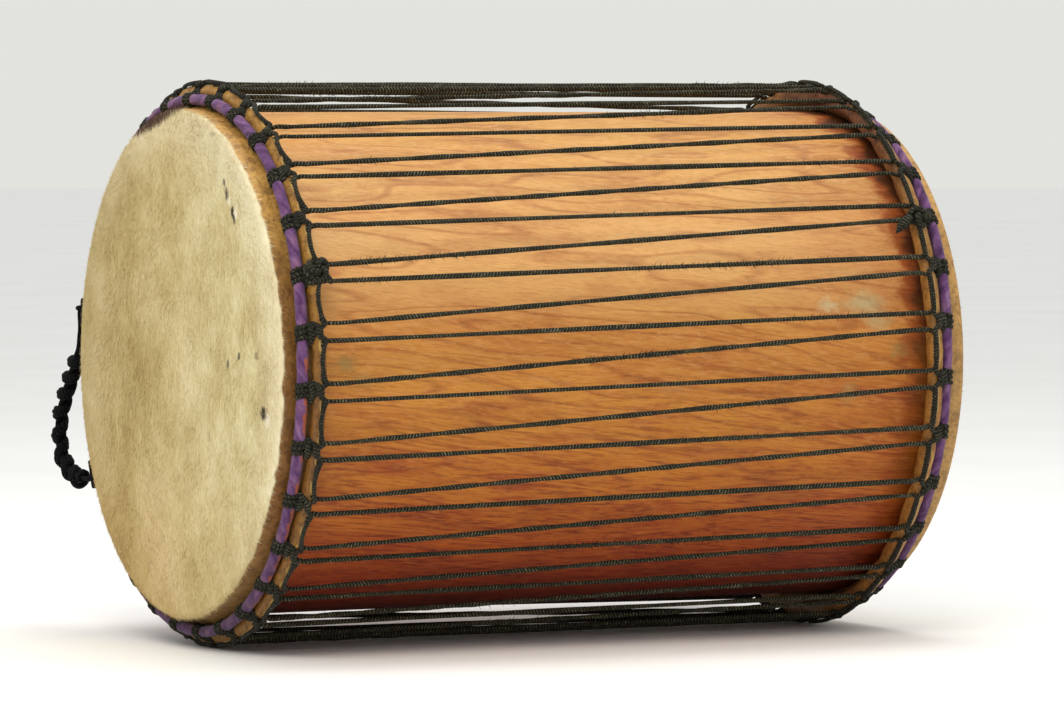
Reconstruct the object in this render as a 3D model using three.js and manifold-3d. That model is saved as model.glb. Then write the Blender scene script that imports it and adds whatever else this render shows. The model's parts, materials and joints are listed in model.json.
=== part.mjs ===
// Rope-tuned drum with two hide heads, lying on its side.
// Millimetres, +Z up. The drum's axis runs along X, with the front head at -X.
// The origin is on the ground, under the middle of the whole drum.
import * as THREE from 'three';
import { mergeVertices } from 'three/addons/utils/BufferGeometryUtils.js';
import Module from 'manifold-3d';

const wasm = await Module();
wasm.setup();

// Fits
const clearance = 0.3; // gap between pieces that touch
const weldTolerance = 1e-4;
const cutOverrun = 10; // how far a cutting block reaches past what it cuts

// Shell: one hollowed log, its two ends rounded over into bearing edges
const drumLength = 659; // over both playing faces
const shellRadius = 218;
const shellWall = 13;
const edgeRounding = 3.5; // outer bevel of the bearing edge
const edgeLandWidth = 3.5; // width of the flat that carries the hide
const edgeFlareLength = 5; // length of the bevel inside the bearing edge

// Hides
const hideThickness = 2.5;
const hideLiftLead = 12.5; // how far before the flesh ring's centre the hide leaves the shell

// Rings: steel rod, the crown rings bound in cloth and the flesh rings rolled in the hide
const crownRodRadius = 4;
const fleshRodRadius = 4.5;
const rodClearance = 0.35; // between a rod and what is wound around it
const clothThickness = 1.15;
const foldThickness = 3.15; // the hide and its turned end around the flesh ring
const ringGap = 0.5; // between the crown ring and the rolled hide
const frontCrownDrop = 15; // from the playing face to the crown ring's centre
const rearCrownDrop = 25;

// Ropes
const ropeDiameter = 5;
const hitchSpacing = 0.6; // between the two strands of a hitch
const ringSlack = 0.35; // between a hitch and the hide inside the crown ring
const reinLift = 1.2; // rein's stand-off from the rolled hide
const cornerHalfGap = 7.1; // from a station to the corner where a tension rope leaves
const turnFillet = 2.4; // rounding of the tension rope where it turns along a rein
const restCut = 0.5; // flat worn on the hitches that the drum lies on

// Knots that close the cradle ropes
const knotRadius = 6;
const knotLength = 18;
const knotGrooveDepth = 1.4; // depth of the grooves between the knot's turns
const knotSetback = 2.6; // from the flesh ring's centre towards the middle of the drum
const tailLength = 26;

// Carrying handle on the far side of the front ring
const handleReach = 71.6; // from the hinge line to the arch's furthest point
const handleCoreRadius = 3.8;
const handleBumpRadius = 6;
const eyeRopeRadius = 2.6;
const eyeClearance = 0.5; // between the lashing and the eye that swings on it
const lashingRopeRadius = 2.3;
const lashingStandoff = 17; // from the crown ring's centre out to the hinge line
const lashingHalfWidth = 8; // from the eye to each leg of its lashing

// Counts and angles
const stations = 30;
const segmentsPerStation = 2;
const revolveSegments = stations * segmentsPerStation;
const stationPhase = -2.4; // degrees of the first station from the top
const rodSides = 6;
const ropeSides = 5;
const hookStep = 55; // degrees between the points of a hitch around the crown ring
const hookPoints = 4;
const lashingStep = 45; // the same for a handle lashing
const lashingPoints = 3;
const reinLean = 26; // degrees that the rein leans towards the middle of the drum
const turnLean = 57;
const foldStart = 20; // degrees round the flesh ring where the fold begins, 0 facing the axis
const clothStart = 30; // degrees round the crown ring where the cloth's seam begins
const frontKnotStation = 6;
const rearKnotStation = 5;
const upperLashingStation = -6.5; // stations counted from the first, half way between two
const lowerLashingStation = -9.5;
const handleBumps = 10;
const samplesPerBump = 3;
const handleSides = 6;
const knotSides = 7;
const eyeSteps = 10;

// The arch of the handle: shares of the span between the eyes, and of the rise from an eye's rope
// to the handle's reach
const archShares = [
  [0, 0], [0.04, 0.08], [0.10, 0.12], [0.19, 0.19], [0.28, 0.32], [0.39, 0.53], [0.48, 0.73],
  [0.59, 0.94], [0.71, 1], [0.82, 0.95], [0.93, 0.63], [0.98, 0.27], [1, 0],
];
// The tail of the rear knot: shares of its length towards the middle, along the ring and outwards
const tailShares = [
  [0.0, 0.0, 0.0], [0.35, 0.2, -0.06], [0.7, 0.42, -0.10], [1.0, 0.62, -0.09],
];
// The turns of a knot: shares of its length from its middle, and of the groove's depth
const knotShares = [
  [-0.5, 2.2], [-0.33, 0], [-0.17, 1], [0, 0], [0.17, 1], [0.33, 0], [0.5, 2.2],
];

// Sizes that follow from the ones above
const degrees = Math.PI / 180;
const half = 0.5;
const bevelShare = Math.SQRT2 - 1; // how a bevel's corners move when it is offset
const ropeRadius = ropeDiameter * half;
const edgeRadius = shellRadius - edgeRounding;
const shellEnd = hideThickness + clearance; // shell end below the playing face
const hideInner = shellRadius + clearance;
const hideOuter = hideInner + hideThickness;
const clothBore = crownRodRadius + rodClearance;
const wrapRadius = clothBore + clothThickness;
const foldBore = fleshRodRadius + rodClearance;
const rollRadius = foldBore + foldThickness;
const hookRadius = (wrapRadius + clearance + ropeRadius) / Math.cos(hookStep * half * degrees);
const ringRadius = hideOuter + ringSlack + ropeRadius + hookRadius;
const ropeOnRoll = rollRadius + clearance + ropeRadius;
const stationPitch = 360 / stations;
const strandOffset = (ropeDiameter + hitchSpacing) * half;

function makeEnd(side, crownDrop) {
  return {
    side,
    crownDrop,
    fleshDrop: crownDrop + wrapRadius + ringGap + rollRadius,
  };
}

const frontEnd = makeEnd(-1, frontCrownDrop);
const rearEnd = makeEnd(1, rearCrownDrop);

const finishes = {
  wood: { color: 0xc07a42, roughness: 0.6, metalness: 0 },
  hide: { color: 0xd8c69a, roughness: 0.8, metalness: 0 },
  steel: { color: 0x8a8c8f, roughness: 0.4, metalness: 1 },
  cloth: { color: 0x74468f, roughness: 0.9, metalness: 0 },
  rope: { color: 0x34362d, roughness: 0.85, metalness: 0 },
  handle: { color: 0x0d0d10, roughness: 0.85, metalness: 0 },
};

function makeMesh(name, geometry, finish) {
  const material = new THREE.MeshStandardMaterial(finish);
  const mesh = new THREE.Mesh(geometry, material);
  mesh.name = name;
  return mesh;
}

// A point on an end: its depth from the playing face, its radius and its angle from the top.
// Angles grow towards -Y, the side that the handle is not on.
function drumPoint(end, depth, radius, angle) {
  const turned = angle * degrees;
  return new THREE.Vector3(
    end.side * (drumLength * half - depth),
    -radius * Math.sin(turned),
    radius * Math.cos(turned),
  );
}

function stationAngle(station) {
  return stationPhase + station * stationPitch;
}

// The angle that a length along the ring covers
function arcAngle(length) {
  return length / ringRadius / degrees;
}

// Closed geometry with shared corners, no empty faces, and its faces pointing out
function tidyGeometry(geometry) {
  geometry.deleteAttribute('normal');
  geometry.deleteAttribute('uv');
  const merged = mergeVertices(geometry, weldTolerance);
  const corners = merged.index.array;
  const place = merged.attributes.position;
  const kept = [];
  let volume = 0;
  const a = new THREE.Vector3();
  const b = new THREE.Vector3();
  const c = new THREE.Vector3();
  for (let i = 0; i < corners.length; i += 3) {
    const [p, q, r] = [corners[i], corners[i + 1], corners[i + 2]];
    if (p === q || q === r || r === p) continue;
    kept.push(p, q, r);
    a.fromBufferAttribute(place, p);
    b.fromBufferAttribute(place, q);
    c.fromBufferAttribute(place, r);
    volume += a.dot(b.cross(c));
  }
  if (volume < 0) {
    for (let i = 0; i < kept.length; i += 3) {
      [kept[i], kept[i + 1]] = [kept[i + 1], kept[i]];
    }
  }
  merged.setIndex(kept);
  return merged;
}

function toManifold(geometry) {
  const mesh = new wasm.Mesh({
    numProp: 3,
    vertProperties: new Float32Array(geometry.attributes.position.array),
    triVerts: new Uint32Array(geometry.index.array),
  });
  mesh.merge();
  return new wasm.Manifold(mesh);
}

function fromManifold(solid) {
  const mesh = solid.getMesh();
  const geometry = new THREE.BufferGeometry();
  geometry.setAttribute('position', new THREE.BufferAttribute(new Float32Array(mesh.vertProperties), 3));
  geometry.setIndex(new THREE.BufferAttribute(new Uint32Array(mesh.triVerts), 1));
  return geometry;
}

function joined(...geometries) {
  const [first, ...others] = geometries.map(toManifold);
  return fromManifold(others.reduce((sum, next) => sum.add(next), first));
}

// Revolves a closed outline of [depth, radius] points around the drum's axis
function revolve(end, outline, segments) {
  const points = outline.map(([depth, radius]) => new THREE.Vector2(radius, depth));
  const geometry = new THREE.LatheGeometry([...points, points[0]], segments);
  const place = geometry.attributes.position;
  const corner = new THREE.Vector3();
  for (let i = 0; i < place.count; i += 1) {
    corner.fromBufferAttribute(place, i);
    const radius = Math.hypot(corner.x, corner.z);
    const angle = Math.atan2(corner.x, corner.z) / degrees + stationPhase;
    place.setXYZ(i, ...drumPoint(end, corner.y, radius, angle).toArray());
  }
  return tidyGeometry(geometry);
}

// Points around a ring's section: angle 0 faces the drum's axis, 90 the middle of the drum
function sectionPoint(depth, radius, reach, angle) {
  return [depth + reach * Math.sin(angle * degrees), radius - reach * Math.cos(angle * degrees)];
}

function sectionArc(depth, radius, reach, start) {
  const step = 360 / rodSides;
  return Array.from({ length: rodSides }, (_, i) => sectionPoint(depth, radius, reach, start + i * step));
}

// A rope of any path. A closed path has no ends; radii may change from point to point.
function rope(path, radii, sides, closed) {
  const count = path.length;
  const tangents = [];
  const mitres = [];
  for (let i = 0; i < count; i += 1) {
    const before = path[closed ? (i + count - 1) % count : Math.max(i - 1, 0)];
    const after = path[closed ? (i + 1) % count : Math.min(i + 1, count - 1)];
    const arriving = path[i].clone().sub(before).normalize();
    const leaving = after.clone().sub(path[i]).normalize();
    const tangent = arriving.clone().add(leaving).normalize();
    const bend = leaving.clone().sub(arriving);
    const stretch = bend.length() > weldTolerance ? 1 / Math.max(tangent.dot(leaving), half) : 1;
    tangents.push(tangent);
    mitres.push({ direction: bend.normalize(), stretch });
  }
  const normals = [new THREE.Vector3(1, 0, 0).cross(tangents[0]).normalize()];
  const turn = new THREE.Quaternion();
  for (let i = 1; i < count; i += 1) {
    turn.setFromUnitVectors(tangents[i - 1], tangents[i]);
    normals.push(normals[i - 1].clone().applyQuaternion(turn).normalize());
  }
  let twist = 0;
  if (closed) {
    turn.setFromUnitVectors(tangents[count - 1], tangents[0]);
    const last = normals[count - 1].clone().applyQuaternion(turn);
    const across = tangents[0].clone().cross(normals[0]);
    const drift = Math.atan2(last.dot(across), last.dot(normals[0]));
    const sideAngle = 2 * Math.PI / sides;
    twist = -(drift - sideAngle * Math.round(drift / sideAngle)) / count;
  }
  const corners = [];
  for (let i = 0; i < count; i += 1) {
    const across = tangents[i].clone().cross(normals[i]);
    for (let j = 0; j < sides; j += 1) {
      const angle = 2 * Math.PI * j / sides + twist * i;
      const offset = normals[i].clone().multiplyScalar(Math.cos(angle)).addScaledVector(across, Math.sin(angle));
      const { direction, stretch } = mitres[i];
      offset.addScaledVector(direction, (stretch - 1) * offset.dot(direction));
      corners.push(...path[i].clone().addScaledVector(offset, radii[i]).toArray());
    }
  }
  const faces = [];
  const joins = closed ? count : count - 1;
  let shift = 0;
  for (let i = 0; i < joins; i += 1) {
    const next = (i + 1) % count;
    if (closed && next === 0) shift = closingShift(corners, count, sides);
    for (let j = 0; j < sides; j += 1) {
      const k = (j + 1) % sides;
      const [a, b] = [i * sides + j, i * sides + k];
      const [c, d] = [next * sides + (j + shift) % sides, next * sides + (k + shift) % sides];
      faces.push(a, b, c, b, d, c);
    }
  }
  if (!closed) {
    for (let j = 1; j < sides - 1; j += 1) {
      const last = (count - 1) * sides;
      faces.push(0, j + 1, j, last, last + j, last + j + 1);
    }
  }
  const geometry = new THREE.BufferGeometry();
  geometry.setAttribute('position', new THREE.Float32BufferAttribute(corners, 3));
  geometry.setIndex(faces);
  return tidyGeometry(geometry);
}

// How many corners the last ring of a closed rope is turned against the first
function closingShift(corners, count, sides) {
  const corner = (i) => new THREE.Vector3(...corners.slice(3 * i, 3 * i + 3));
  const lengths = Array.from({ length: sides }, (_, shift) => {
    let sum = 0;
    for (let j = 0; j < sides; j += 1) {
      sum += corner((count - 1) * sides + j).distanceTo(corner((j + shift) % sides));
    }
    return sum;
  });
  return lengths.indexOf(Math.min(...lengths));
}

function evenRope(path, radius, sides, closed) {
  return rope(path, path.map(() => radius), sides, closed);
}

// Shell
function makeShell() {
  const bore = shellRadius - shellWall;
  const landInner = edgeRadius - edgeLandWidth;
  const far = drumLength - shellEnd;
  return revolve(frontEnd, [
    [shellEnd + edgeFlareLength, bore],
    [shellEnd, landInner],
    [shellEnd, edgeRadius],
    [shellEnd + edgeRounding, shellRadius],
    [far - edgeRounding, shellRadius],
    [far, edgeRadius],
    [far, landInner],
    [far - edgeFlareLength, bore],
  ], revolveSegments);
}

// Hide head: over the bearing edge, down outside the shell, and round the flesh ring
function makeHead(end) {
  const bevel = (offset) => [
    [shellEnd - offset, edgeRadius + offset * bevelShare],
    [shellEnd + edgeRounding - offset * bevelShare, shellRadius + offset],
  ];
  const outerOffset = clearance + hideThickness;
  const lift = end.fleshDrop - hideLiftLead;
  const inside = sectionArc(end.fleshDrop, ringRadius, foldBore, foldStart);
  const outside = sectionArc(end.fleshDrop, ringRadius, rollRadius, foldStart);
  return revolve(end, [
    [0, 0],
    ...bevel(outerOffset),
    [lift, hideOuter],
    ...inside,
    ...outside.reverse(),
    [lift + hideThickness, hideInner],
    ...bevel(clearance).reverse(),
    [hideThickness, 0],
  ], revolveSegments);
}

function makeRod(end, depth, radius, start, segments) {
  return revolve(end, sectionArc(depth, ringRadius, radius, start), segments);
}

// Cloth bound round the crown ring, its seam towards the shell
function makeRingWrap(end) {
  const outside = sectionArc(end.crownDrop, ringRadius, wrapRadius, clothStart);
  const inside = sectionArc(end.crownDrop, ringRadius, clothBore, clothStart);
  return revolve(end, [...outside, ...inside.reverse()], stations);
}

// Corners of a rein, held out so that its straight middle still clears the rolled hide
function reinPlace(end) {
  const reach = ropeOnRoll + reinLift;
  const [depth, radius] = sectionPoint(end.fleshDrop, ringRadius, reach, 180 - reinLean);
  const halfArc = (stationPitch * half - arcAngle(cornerHalfGap)) * degrees;
  return { depth, radius: radius / Math.cos(halfArc) };
}

// A hitch: over the crown ring, down its face side, along inside it and back
function hitchPath(end, station) {
  const angle = stationAngle(station);
  const strand = arcAngle(strandOffset);
  const rein = reinPlace(end);
  const leg = Array.from({ length: hookPoints }, (_, i) => (
    sectionPoint(end.crownDrop, ringRadius, hookRadius, 180 + i * hookStep)
  ));
  const corner = arcAngle(cornerHalfGap);
  return [
    drumPoint(end, rein.depth, rein.radius, angle - corner),
    ...leg.map(([depth, radius]) => drumPoint(end, depth, radius, angle - strand)),
    ...leg.reverse().map(([depth, radius]) => drumPoint(end, depth, radius, angle + strand)),
    drumPoint(end, rein.depth, rein.radius, angle + corner),
  ];
}

// The knot that ends a cradle rope, seated on the rolled hide over its station
function makeKnot(end, station) {
  const outline = knotShares.map(([along, depth]) => (
    new THREE.Vector2(knotRadius - knotGrooveDepth * depth, knotLength * along)
  ));
  const closed = [new THREE.Vector2(0, -knotLength * half), ...outline, new THREE.Vector2(0, knotLength * half)];
  const geometry = new THREE.LatheGeometry(closed, knotSides);
  const angle = stationAngle(station);
  const seat = rollRadius + clearance + knotRadius;
  const place = drumPoint(end, end.fleshDrop + knotSetback, ringRadius + seat, angle);
  geometry.rotateZ(Math.PI * half);
  geometry.rotateY(Math.PI * half);
  geometry.rotateX(Math.PI * half + angle * degrees);
  geometry.translate(place.x, place.y, place.z);
  return tidyGeometry(geometry);
}

function makeTail(end, station) {
  const angle = stationAngle(station);
  const seat = rollRadius + clearance + knotRadius;
  const path = tailShares.map(([inward, along, outward]) => drumPoint(
    end,
    end.fleshDrop + knotSetback + tailLength * inward,
    ringRadius + seat + tailLength * outward,
    angle + arcAngle(tailLength * along),
  ));
  return evenRope(path, ropeRadius, ropeSides, false);
}

function makeCradle(end, knotStation, withTail) {
  const path = [];
  for (let station = 0; station < stations; station += 1) {
    path.push(...hitchPath(end, station));
  }
  const pieces = [evenRope(path, ropeRadius, ropeSides, true), makeKnot(end, knotStation)];
  if (withTail) pieces.push(makeTail(end, knotStation));
  return joined(...pieces);
}

// The tension rope turns under a rein, from one of its corners to the other
function turnPath(end, startStation, startSide, endStation, endSide) {
  const inset = arcAngle(turnFillet);
  const corner = arcAngle(cornerHalfGap);
  const halfArc = (stationPitch * half - corner - inset) * degrees;
  const [depth, radius] = sectionPoint(end.fleshDrop, ringRadius, ropeOnRoll, 180 - turnLean);
  const reach = radius / Math.cos(halfArc);
  const start = stationAngle(startStation) + startSide * corner;
  const finish = stationAngle(endStation) + endSide * corner;
  return [
    drumPoint(end, depth + turnFillet, reach, start),
    drumPoint(end, depth, reach, start + startSide * inset),
    drumPoint(end, depth, reach, finish + endSide * inset),
    drumPoint(end, depth + turnFillet, reach, finish),
  ];
}

function makeTensionRope() {
  const path = [];
  for (let station = stations; station > 0; station -= 1) {
    path.push(...turnPath(rearEnd, station, -1, station - 1, 1));
    path.push(...turnPath(frontEnd, station, -1, station - 1, 1));
  }
  return evenRope(path, ropeRadius, ropeSides, true);
}

// Both feet of the handle stand on one straight hinge line outside the crown ring
const hingeRadius = ringRadius + lashingStandoff;
const upperEye = drumPoint(frontEnd, frontCrownDrop, hingeRadius, stationAngle(upperLashingStation));
const lowerEye = drumPoint(frontEnd, frontCrownDrop, hingeRadius, stationAngle(lowerLashingStation));
const hingeSpan = upperEye.distanceTo(lowerEye);
const hingeAxis = lowerEye.clone().sub(upperEye).normalize();
const eyeReach = lashingRopeRadius + eyeClearance + eyeRopeRadius; // centre line of an eye's rope
const handleOut = hingeAxis.clone().cross(new THREE.Vector3(-1, 0, 0)).normalize();

// A lashing sits half way between two stations, where the faceted cloth is nearest to the axis
function makeLashing(eye, station) {
  const angle = stationAngle(station);
  const spread = arcAngle(lashingHalfWidth);
  const facetRadius = ringRadius * Math.cos(stationPitch * half * degrees);
  const reach = (wrapRadius + clearance + lashingRopeRadius) / Math.cos(lashingStep * half * degrees);
  const leg = (side) => Array.from({ length: lashingPoints }, (_, i) => {
    const [depth, radius] = sectionPoint(frontCrownDrop, facetRadius, reach, 180 + (i + 1) * lashingStep);
    return drumPoint(frontEnd, depth, radius, angle + side * spread);
  });
  const bridge = [1, -1].map((side) => eye.clone().addScaledVector(hingeAxis, -side * lashingHalfWidth));
  const path = [...leg(1).reverse(), ...bridge, ...leg(-1)];
  return evenRope(path, lashingRopeRadius, handleSides, false);
}

function makeEye(eye) {
  const geometry = new THREE.TorusGeometry(eyeReach, eyeRopeRadius, handleSides, eyeSteps);
  const turn = new THREE.Quaternion().setFromUnitVectors(new THREE.Vector3(0, 0, 1), hingeAxis);
  geometry.applyQuaternion(turn);
  geometry.translate(eye.x, eye.y, eye.z);
  return tidyGeometry(geometry);
}

function makeHandle() {
  const points = archShares.map(([along, out]) => upperEye.clone()
    .addScaledVector(hingeAxis, hingeSpan * along)
    .addScaledVector(handleOut, eyeReach + (handleReach - eyeReach) * out));
  const curve = new THREE.CatmullRomCurve3(points, false, 'centripetal');
  const samples = handleBumps * samplesPerBump;
  const path = curve.getSpacedPoints(samples);
  const radii = path.map((_, i) => (
    i % samplesPerBump === 0 ? handleCoreRadius : handleBumpRadius
  ));
  return joined(rope(path, radii, handleSides, false), makeEye(upperEye), makeEye(lowerEye));
}

// Flats where the cradle ropes meet the ground
function cutAtGround(geometry, ground) {
  geometry.computeBoundingBox();
  const size = geometry.boundingBox.getSize(new THREE.Vector3());
  const block = new THREE.BoxGeometry(drumLength + cutOverrun, size.y + cutOverrun, size.z);
  block.translate(0, 0, ground - size.z * half);
  return fromManifold(toManifold(geometry).subtract(toManifold(tidyGeometry(block))));
}

const frontCradle = makeCradle(frontEnd, frontKnotStation, false);
const rearCradle = makeCradle(rearEnd, rearKnotStation, true);
frontCradle.computeBoundingBox();
rearCradle.computeBoundingBox();
const ground = Math.min(frontCradle.boundingBox.min.z, rearCradle.boundingBox.min.z) + restCut;

const drum = new THREE.Group();
drum.add(
  makeMesh('shell', makeShell(), finishes.wood),
  makeMesh('front_head', makeHead(frontEnd), finishes.hide),
  makeMesh('rear_head', makeHead(rearEnd), finishes.hide),
  makeMesh('front_flesh_ring',
    makeRod(frontEnd, frontEnd.fleshDrop, fleshRodRadius, foldStart, revolveSegments), finishes.steel),
  makeMesh('rear_flesh_ring',
    makeRod(rearEnd, rearEnd.fleshDrop, fleshRodRadius, foldStart, revolveSegments), finishes.steel),
  makeMesh('front_crown_ring',
    makeRod(frontEnd, frontCrownDrop, crownRodRadius, clothStart, stations), finishes.steel),
  makeMesh('rear_crown_ring',
    makeRod(rearEnd, rearCrownDrop, crownRodRadius, clothStart, stations), finishes.steel),
  makeMesh('front_ring_wrap', makeRingWrap(frontEnd), finishes.cloth),
  makeMesh('rear_ring_wrap', makeRingWrap(rearEnd), finishes.cloth),
  makeMesh('front_cradle_rope', cutAtGround(frontCradle, ground), finishes.rope),
  makeMesh('rear_cradle_rope', cutAtGround(rearCradle, ground), finishes.rope),
  makeMesh('tension_rope', makeTensionRope(), finishes.rope),
  makeMesh('carry_handle', makeHandle(), finishes.handle),
  makeMesh('upper_handle_lashing', makeLashing(upperEye, upperLashingStation), finishes.handle),
  makeMesh('lower_handle_lashing', makeLashing(lowerEye, lowerLashingStation), finishes.handle),
);

// The whole drum stands on the ground, centred over the origin
const bounds = new THREE.Box3().setFromObject(drum);
const middle = bounds.getCenter(new THREE.Vector3());
drum.position.set(-middle.x, -middle.y, -bounds.min.z);

export default drum;
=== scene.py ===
# Rope-tuned drum with two hide heads, lying on its side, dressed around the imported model.
# Settings are real sizes in millimetres; meshes are made in metres in the model's own frame.
import json
import math
from functools import partial

import bmesh
import bpy
import numpy as np
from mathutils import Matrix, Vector


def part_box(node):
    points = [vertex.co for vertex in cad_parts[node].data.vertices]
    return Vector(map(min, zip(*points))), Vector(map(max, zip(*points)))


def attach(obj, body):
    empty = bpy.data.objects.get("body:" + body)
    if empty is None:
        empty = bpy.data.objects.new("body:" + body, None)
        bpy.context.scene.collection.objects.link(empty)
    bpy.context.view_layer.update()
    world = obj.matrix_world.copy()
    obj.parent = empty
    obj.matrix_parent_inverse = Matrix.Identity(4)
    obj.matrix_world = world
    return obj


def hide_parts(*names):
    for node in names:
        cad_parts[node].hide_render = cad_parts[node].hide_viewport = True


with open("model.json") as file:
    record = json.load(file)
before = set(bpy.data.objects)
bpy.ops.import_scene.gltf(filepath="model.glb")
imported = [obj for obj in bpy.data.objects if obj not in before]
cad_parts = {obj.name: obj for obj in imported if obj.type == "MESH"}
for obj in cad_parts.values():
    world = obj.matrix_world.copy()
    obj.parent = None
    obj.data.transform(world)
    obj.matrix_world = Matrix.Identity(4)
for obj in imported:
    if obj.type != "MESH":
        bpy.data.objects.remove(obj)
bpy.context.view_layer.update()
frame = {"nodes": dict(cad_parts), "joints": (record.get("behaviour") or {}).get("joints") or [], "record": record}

mm = 0.001
mounts = {mount["name"]: mount["pos_m"] for mount in frame["record"]["mounts"]}
axisY, axisZ = mounts["front_head_face"][1:]


def ringPlace(node):
    low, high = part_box(node)
    return (low.x + high.x) / 2


# side is the direction from the middle of the drum to that end; crown and flesh are the two rings' places.
# bend is where the hand-bent crown ring leaves its true circle: angle, then inward and outward in mm.
# rein, corner and turn are where the two ropes lie over the rolled hide, inward of the crown ring and out.
ends = {
    "front": {"side": -1, "face": mounts["front_head_face"][0], "seed": 3,
              "crown": ringPlace("front_crown_ring"), "flesh": ringPlace("front_flesh_ring"),
              "bend": [(0, 3.5, -4.5), (20, 4.0, -3.6), (42, 5.4, -1.5), (55, 4.2, -1.4), (65, 3.5, -2.0),
                       (78, 2.0, -2.8), (88, 0.6, -3.6), (105, 1.0, -3.8), (135, 3.0, -3.0), (172, 3.0, -1.5),
                       (225, 1.0, -1.0), (300, 1.0, -1.0), (335, 2.5, -3.2)],
              "rein": (12.7, 11.3), "corner": (16.8, 11.2), "turn": (14.2, 8.2)},
    "rear": {"side": 1, "face": mounts["rear_head_face"][0], "seed": 8,
             "crown": ringPlace("rear_crown_ring"), "flesh": ringPlace("rear_flesh_ring"),
             "bend": [(0, -2.0, -6.4), (20, -2.5, -6.4), (38, -4.0, -5.2), (50, -3.2, -2.6), (64, -3.8, -2.0),
                      (76, -2.0, -2.0), (88, 0.6, -2.0), (135, -1.0, -2.0), (270, -1.0, -2.0),
                      (330, -2.0, -5.5)],
             "rein": (17.8, 11.8), "corner": (18.4, 11.3), "turn": (17.4, 8.4)},
}
drum = {
    "stations": 30,            # hitches round each ring
    "firstStation": -2.4,      # degrees from the top
    "ringRadius": 233,
    "shellRadius": 218,
    "shellWall": 13,
    "hideOuter": 220.8,        # over the hide where it lies on the shell
    "hideThickness": 2.5,
}
ringRadius = drum["ringRadius"] * mm
stationPitch = 360 / drum["stations"]
stationSpan = math.radians(stationPitch) * drum["ringRadius"]      # from station to station, in mm


def stationAngle(station):
    return drum["firstStation"] + station * stationPitch


# Angles are degrees from the top towards -Y, the side that the handle is not on
def onDrum(x, radius, angle):
    turned = np.radians(angle)
    parts = np.broadcast_arrays(x, axisY - radius * np.sin(turned), axisZ + radius * np.cos(turned))
    return np.stack(parts, axis=-1)


# Even steps round a ring: angles, angles in stations, and how far each is from its nearest station
def ringSteps(perStation):
    count = drum["stations"] * perStation
    angle = drum["firstStation"] + np.arange(count) * 360 / count
    phase = (angle - drum["firstStation"]) / stationPitch
    return angle, phase, np.abs(phase - np.round(phase))


# 0 up to start and 1 from finish on, either way round
def riseBetween(value, start, finish):
    return np.clip((value - start) / (finish - start), 0, 1)


# How far the crown ring is bent off its circle, with the table's corners smoothed out
def ringBend(end, angle):
    degrees, inward, outward = np.array(end["bend"]).T
    spread = [[np.interp(angle + step, degrees, part, period=360) for step in (-8, -4, 0, 4, 8)]
              for part in (inward, outward)]
    return [np.mean(part, axis=0) for part in spread]


# Places round a ring in mm: along it from a station, inward from the crown ring, out from its middle,
# and the share of the ring's bend that the place follows
def onRing(end, station, along, inward, out, share=0.0):
    angle = stationAngle(station) + np.degrees(np.asarray(along) * mm / ringRadius)
    bend = ringBend(end, angle)
    x = end["crown"] - end["side"] * (np.asarray(inward) + share * bend[0]) * mm
    return onDrum(x, ringRadius + (np.asarray(out) + share * bend[1]) * mm, angle)


def hexColour(code):
    parts = [int(code[i:i + 2], 16) / 255 for i in (1, 3, 5)]
    return [p / 12.92 if p <= 0.04045 else ((p + 0.055) / 1.055) ** 2.4 for p in parts] + [1.0]


# Adds a node and returns one of its outputs, or all of them. A shader node's kind is given without its first
# word; settings are the node's own properties, links are values or other nodes' sockets for its inputs, and
# stops are a colour ramp's places and colours. A tree's maker calls it as add, with the tree already given.
def addNode(tree, kind, links=None, stops=(), out=0, **settings):
    node = tree.nodes.new(kind if "Node" in kind else "ShaderNode" + kind)
    for key, value in settings.items():
        setattr(node, key, value)
    for key, value in (links or {}).items():
        if isinstance(value, bpy.types.NodeSocket):
            tree.links.new(value, node.inputs[key])
        else:
            node.inputs[key].default_value = value
    for i, (position, colour) in enumerate(stops):
        ramp = node.color_ramp.elements
        stop = ramp[i] if i < 2 else ramp.new(position)
        stop.position, stop.color = position, hexColour(colour)
    return node.outputs if out is None else node.outputs[out]


def newMaterial(name):
    material = bpy.data.materials.new(name)
    material.use_nodes = True
    material.node_tree.nodes.clear()
    return material, partial(addNode, material.node_tree)


# Paints layers over a colour. Each says how far it counts, how it is laid on, and its tone: one colour, or
# the tones of a ramp and the socket that they follow
def paintLayers(add, colour, layers):
    for share, way, tone, *measure in layers:
        if measure:
            tone = add("ValToRGB", {0: measure[0]}, stops=tone)
        colour = add("Mix", {0: share, 6: colour, 7: tone}, out=2, data_type="RGBA", blend_type=way)
    return colour


# A Map Range node's ends for a stretch in mm
def overStretch(edges):
    return {"From Min": edges[0] * mm, "From Max": edges[1] * mm}


# Joins a colour, a roughness and a relief of this many mm to one surface
def finishMaterial(add, colour, roughness, height=None, relief=0, strength=0, **constants):
    links = {"Base Color": colour, "Roughness": roughness}
    if height is not None:
        links["Normal"] = add("Bump", {"Height": height, "Distance": relief * mm, "Strength": strength})
    surface = add("BsdfPrincipled", links)
    for name, value in constants.items():
        surface.node.inputs[name.replace("_", " ")].default_value = value
    add("OutputMaterial", {"Surface": surface}, out=None)


# Meshes

def meshObject(name, mesh, material=None):
    thing = bpy.data.objects.new(name, mesh)
    bpy.context.scene.collection.objects.link(thing)
    if material is not None:
        mesh.materials.clear()
        mesh.materials.append(material)
    return thing


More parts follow.
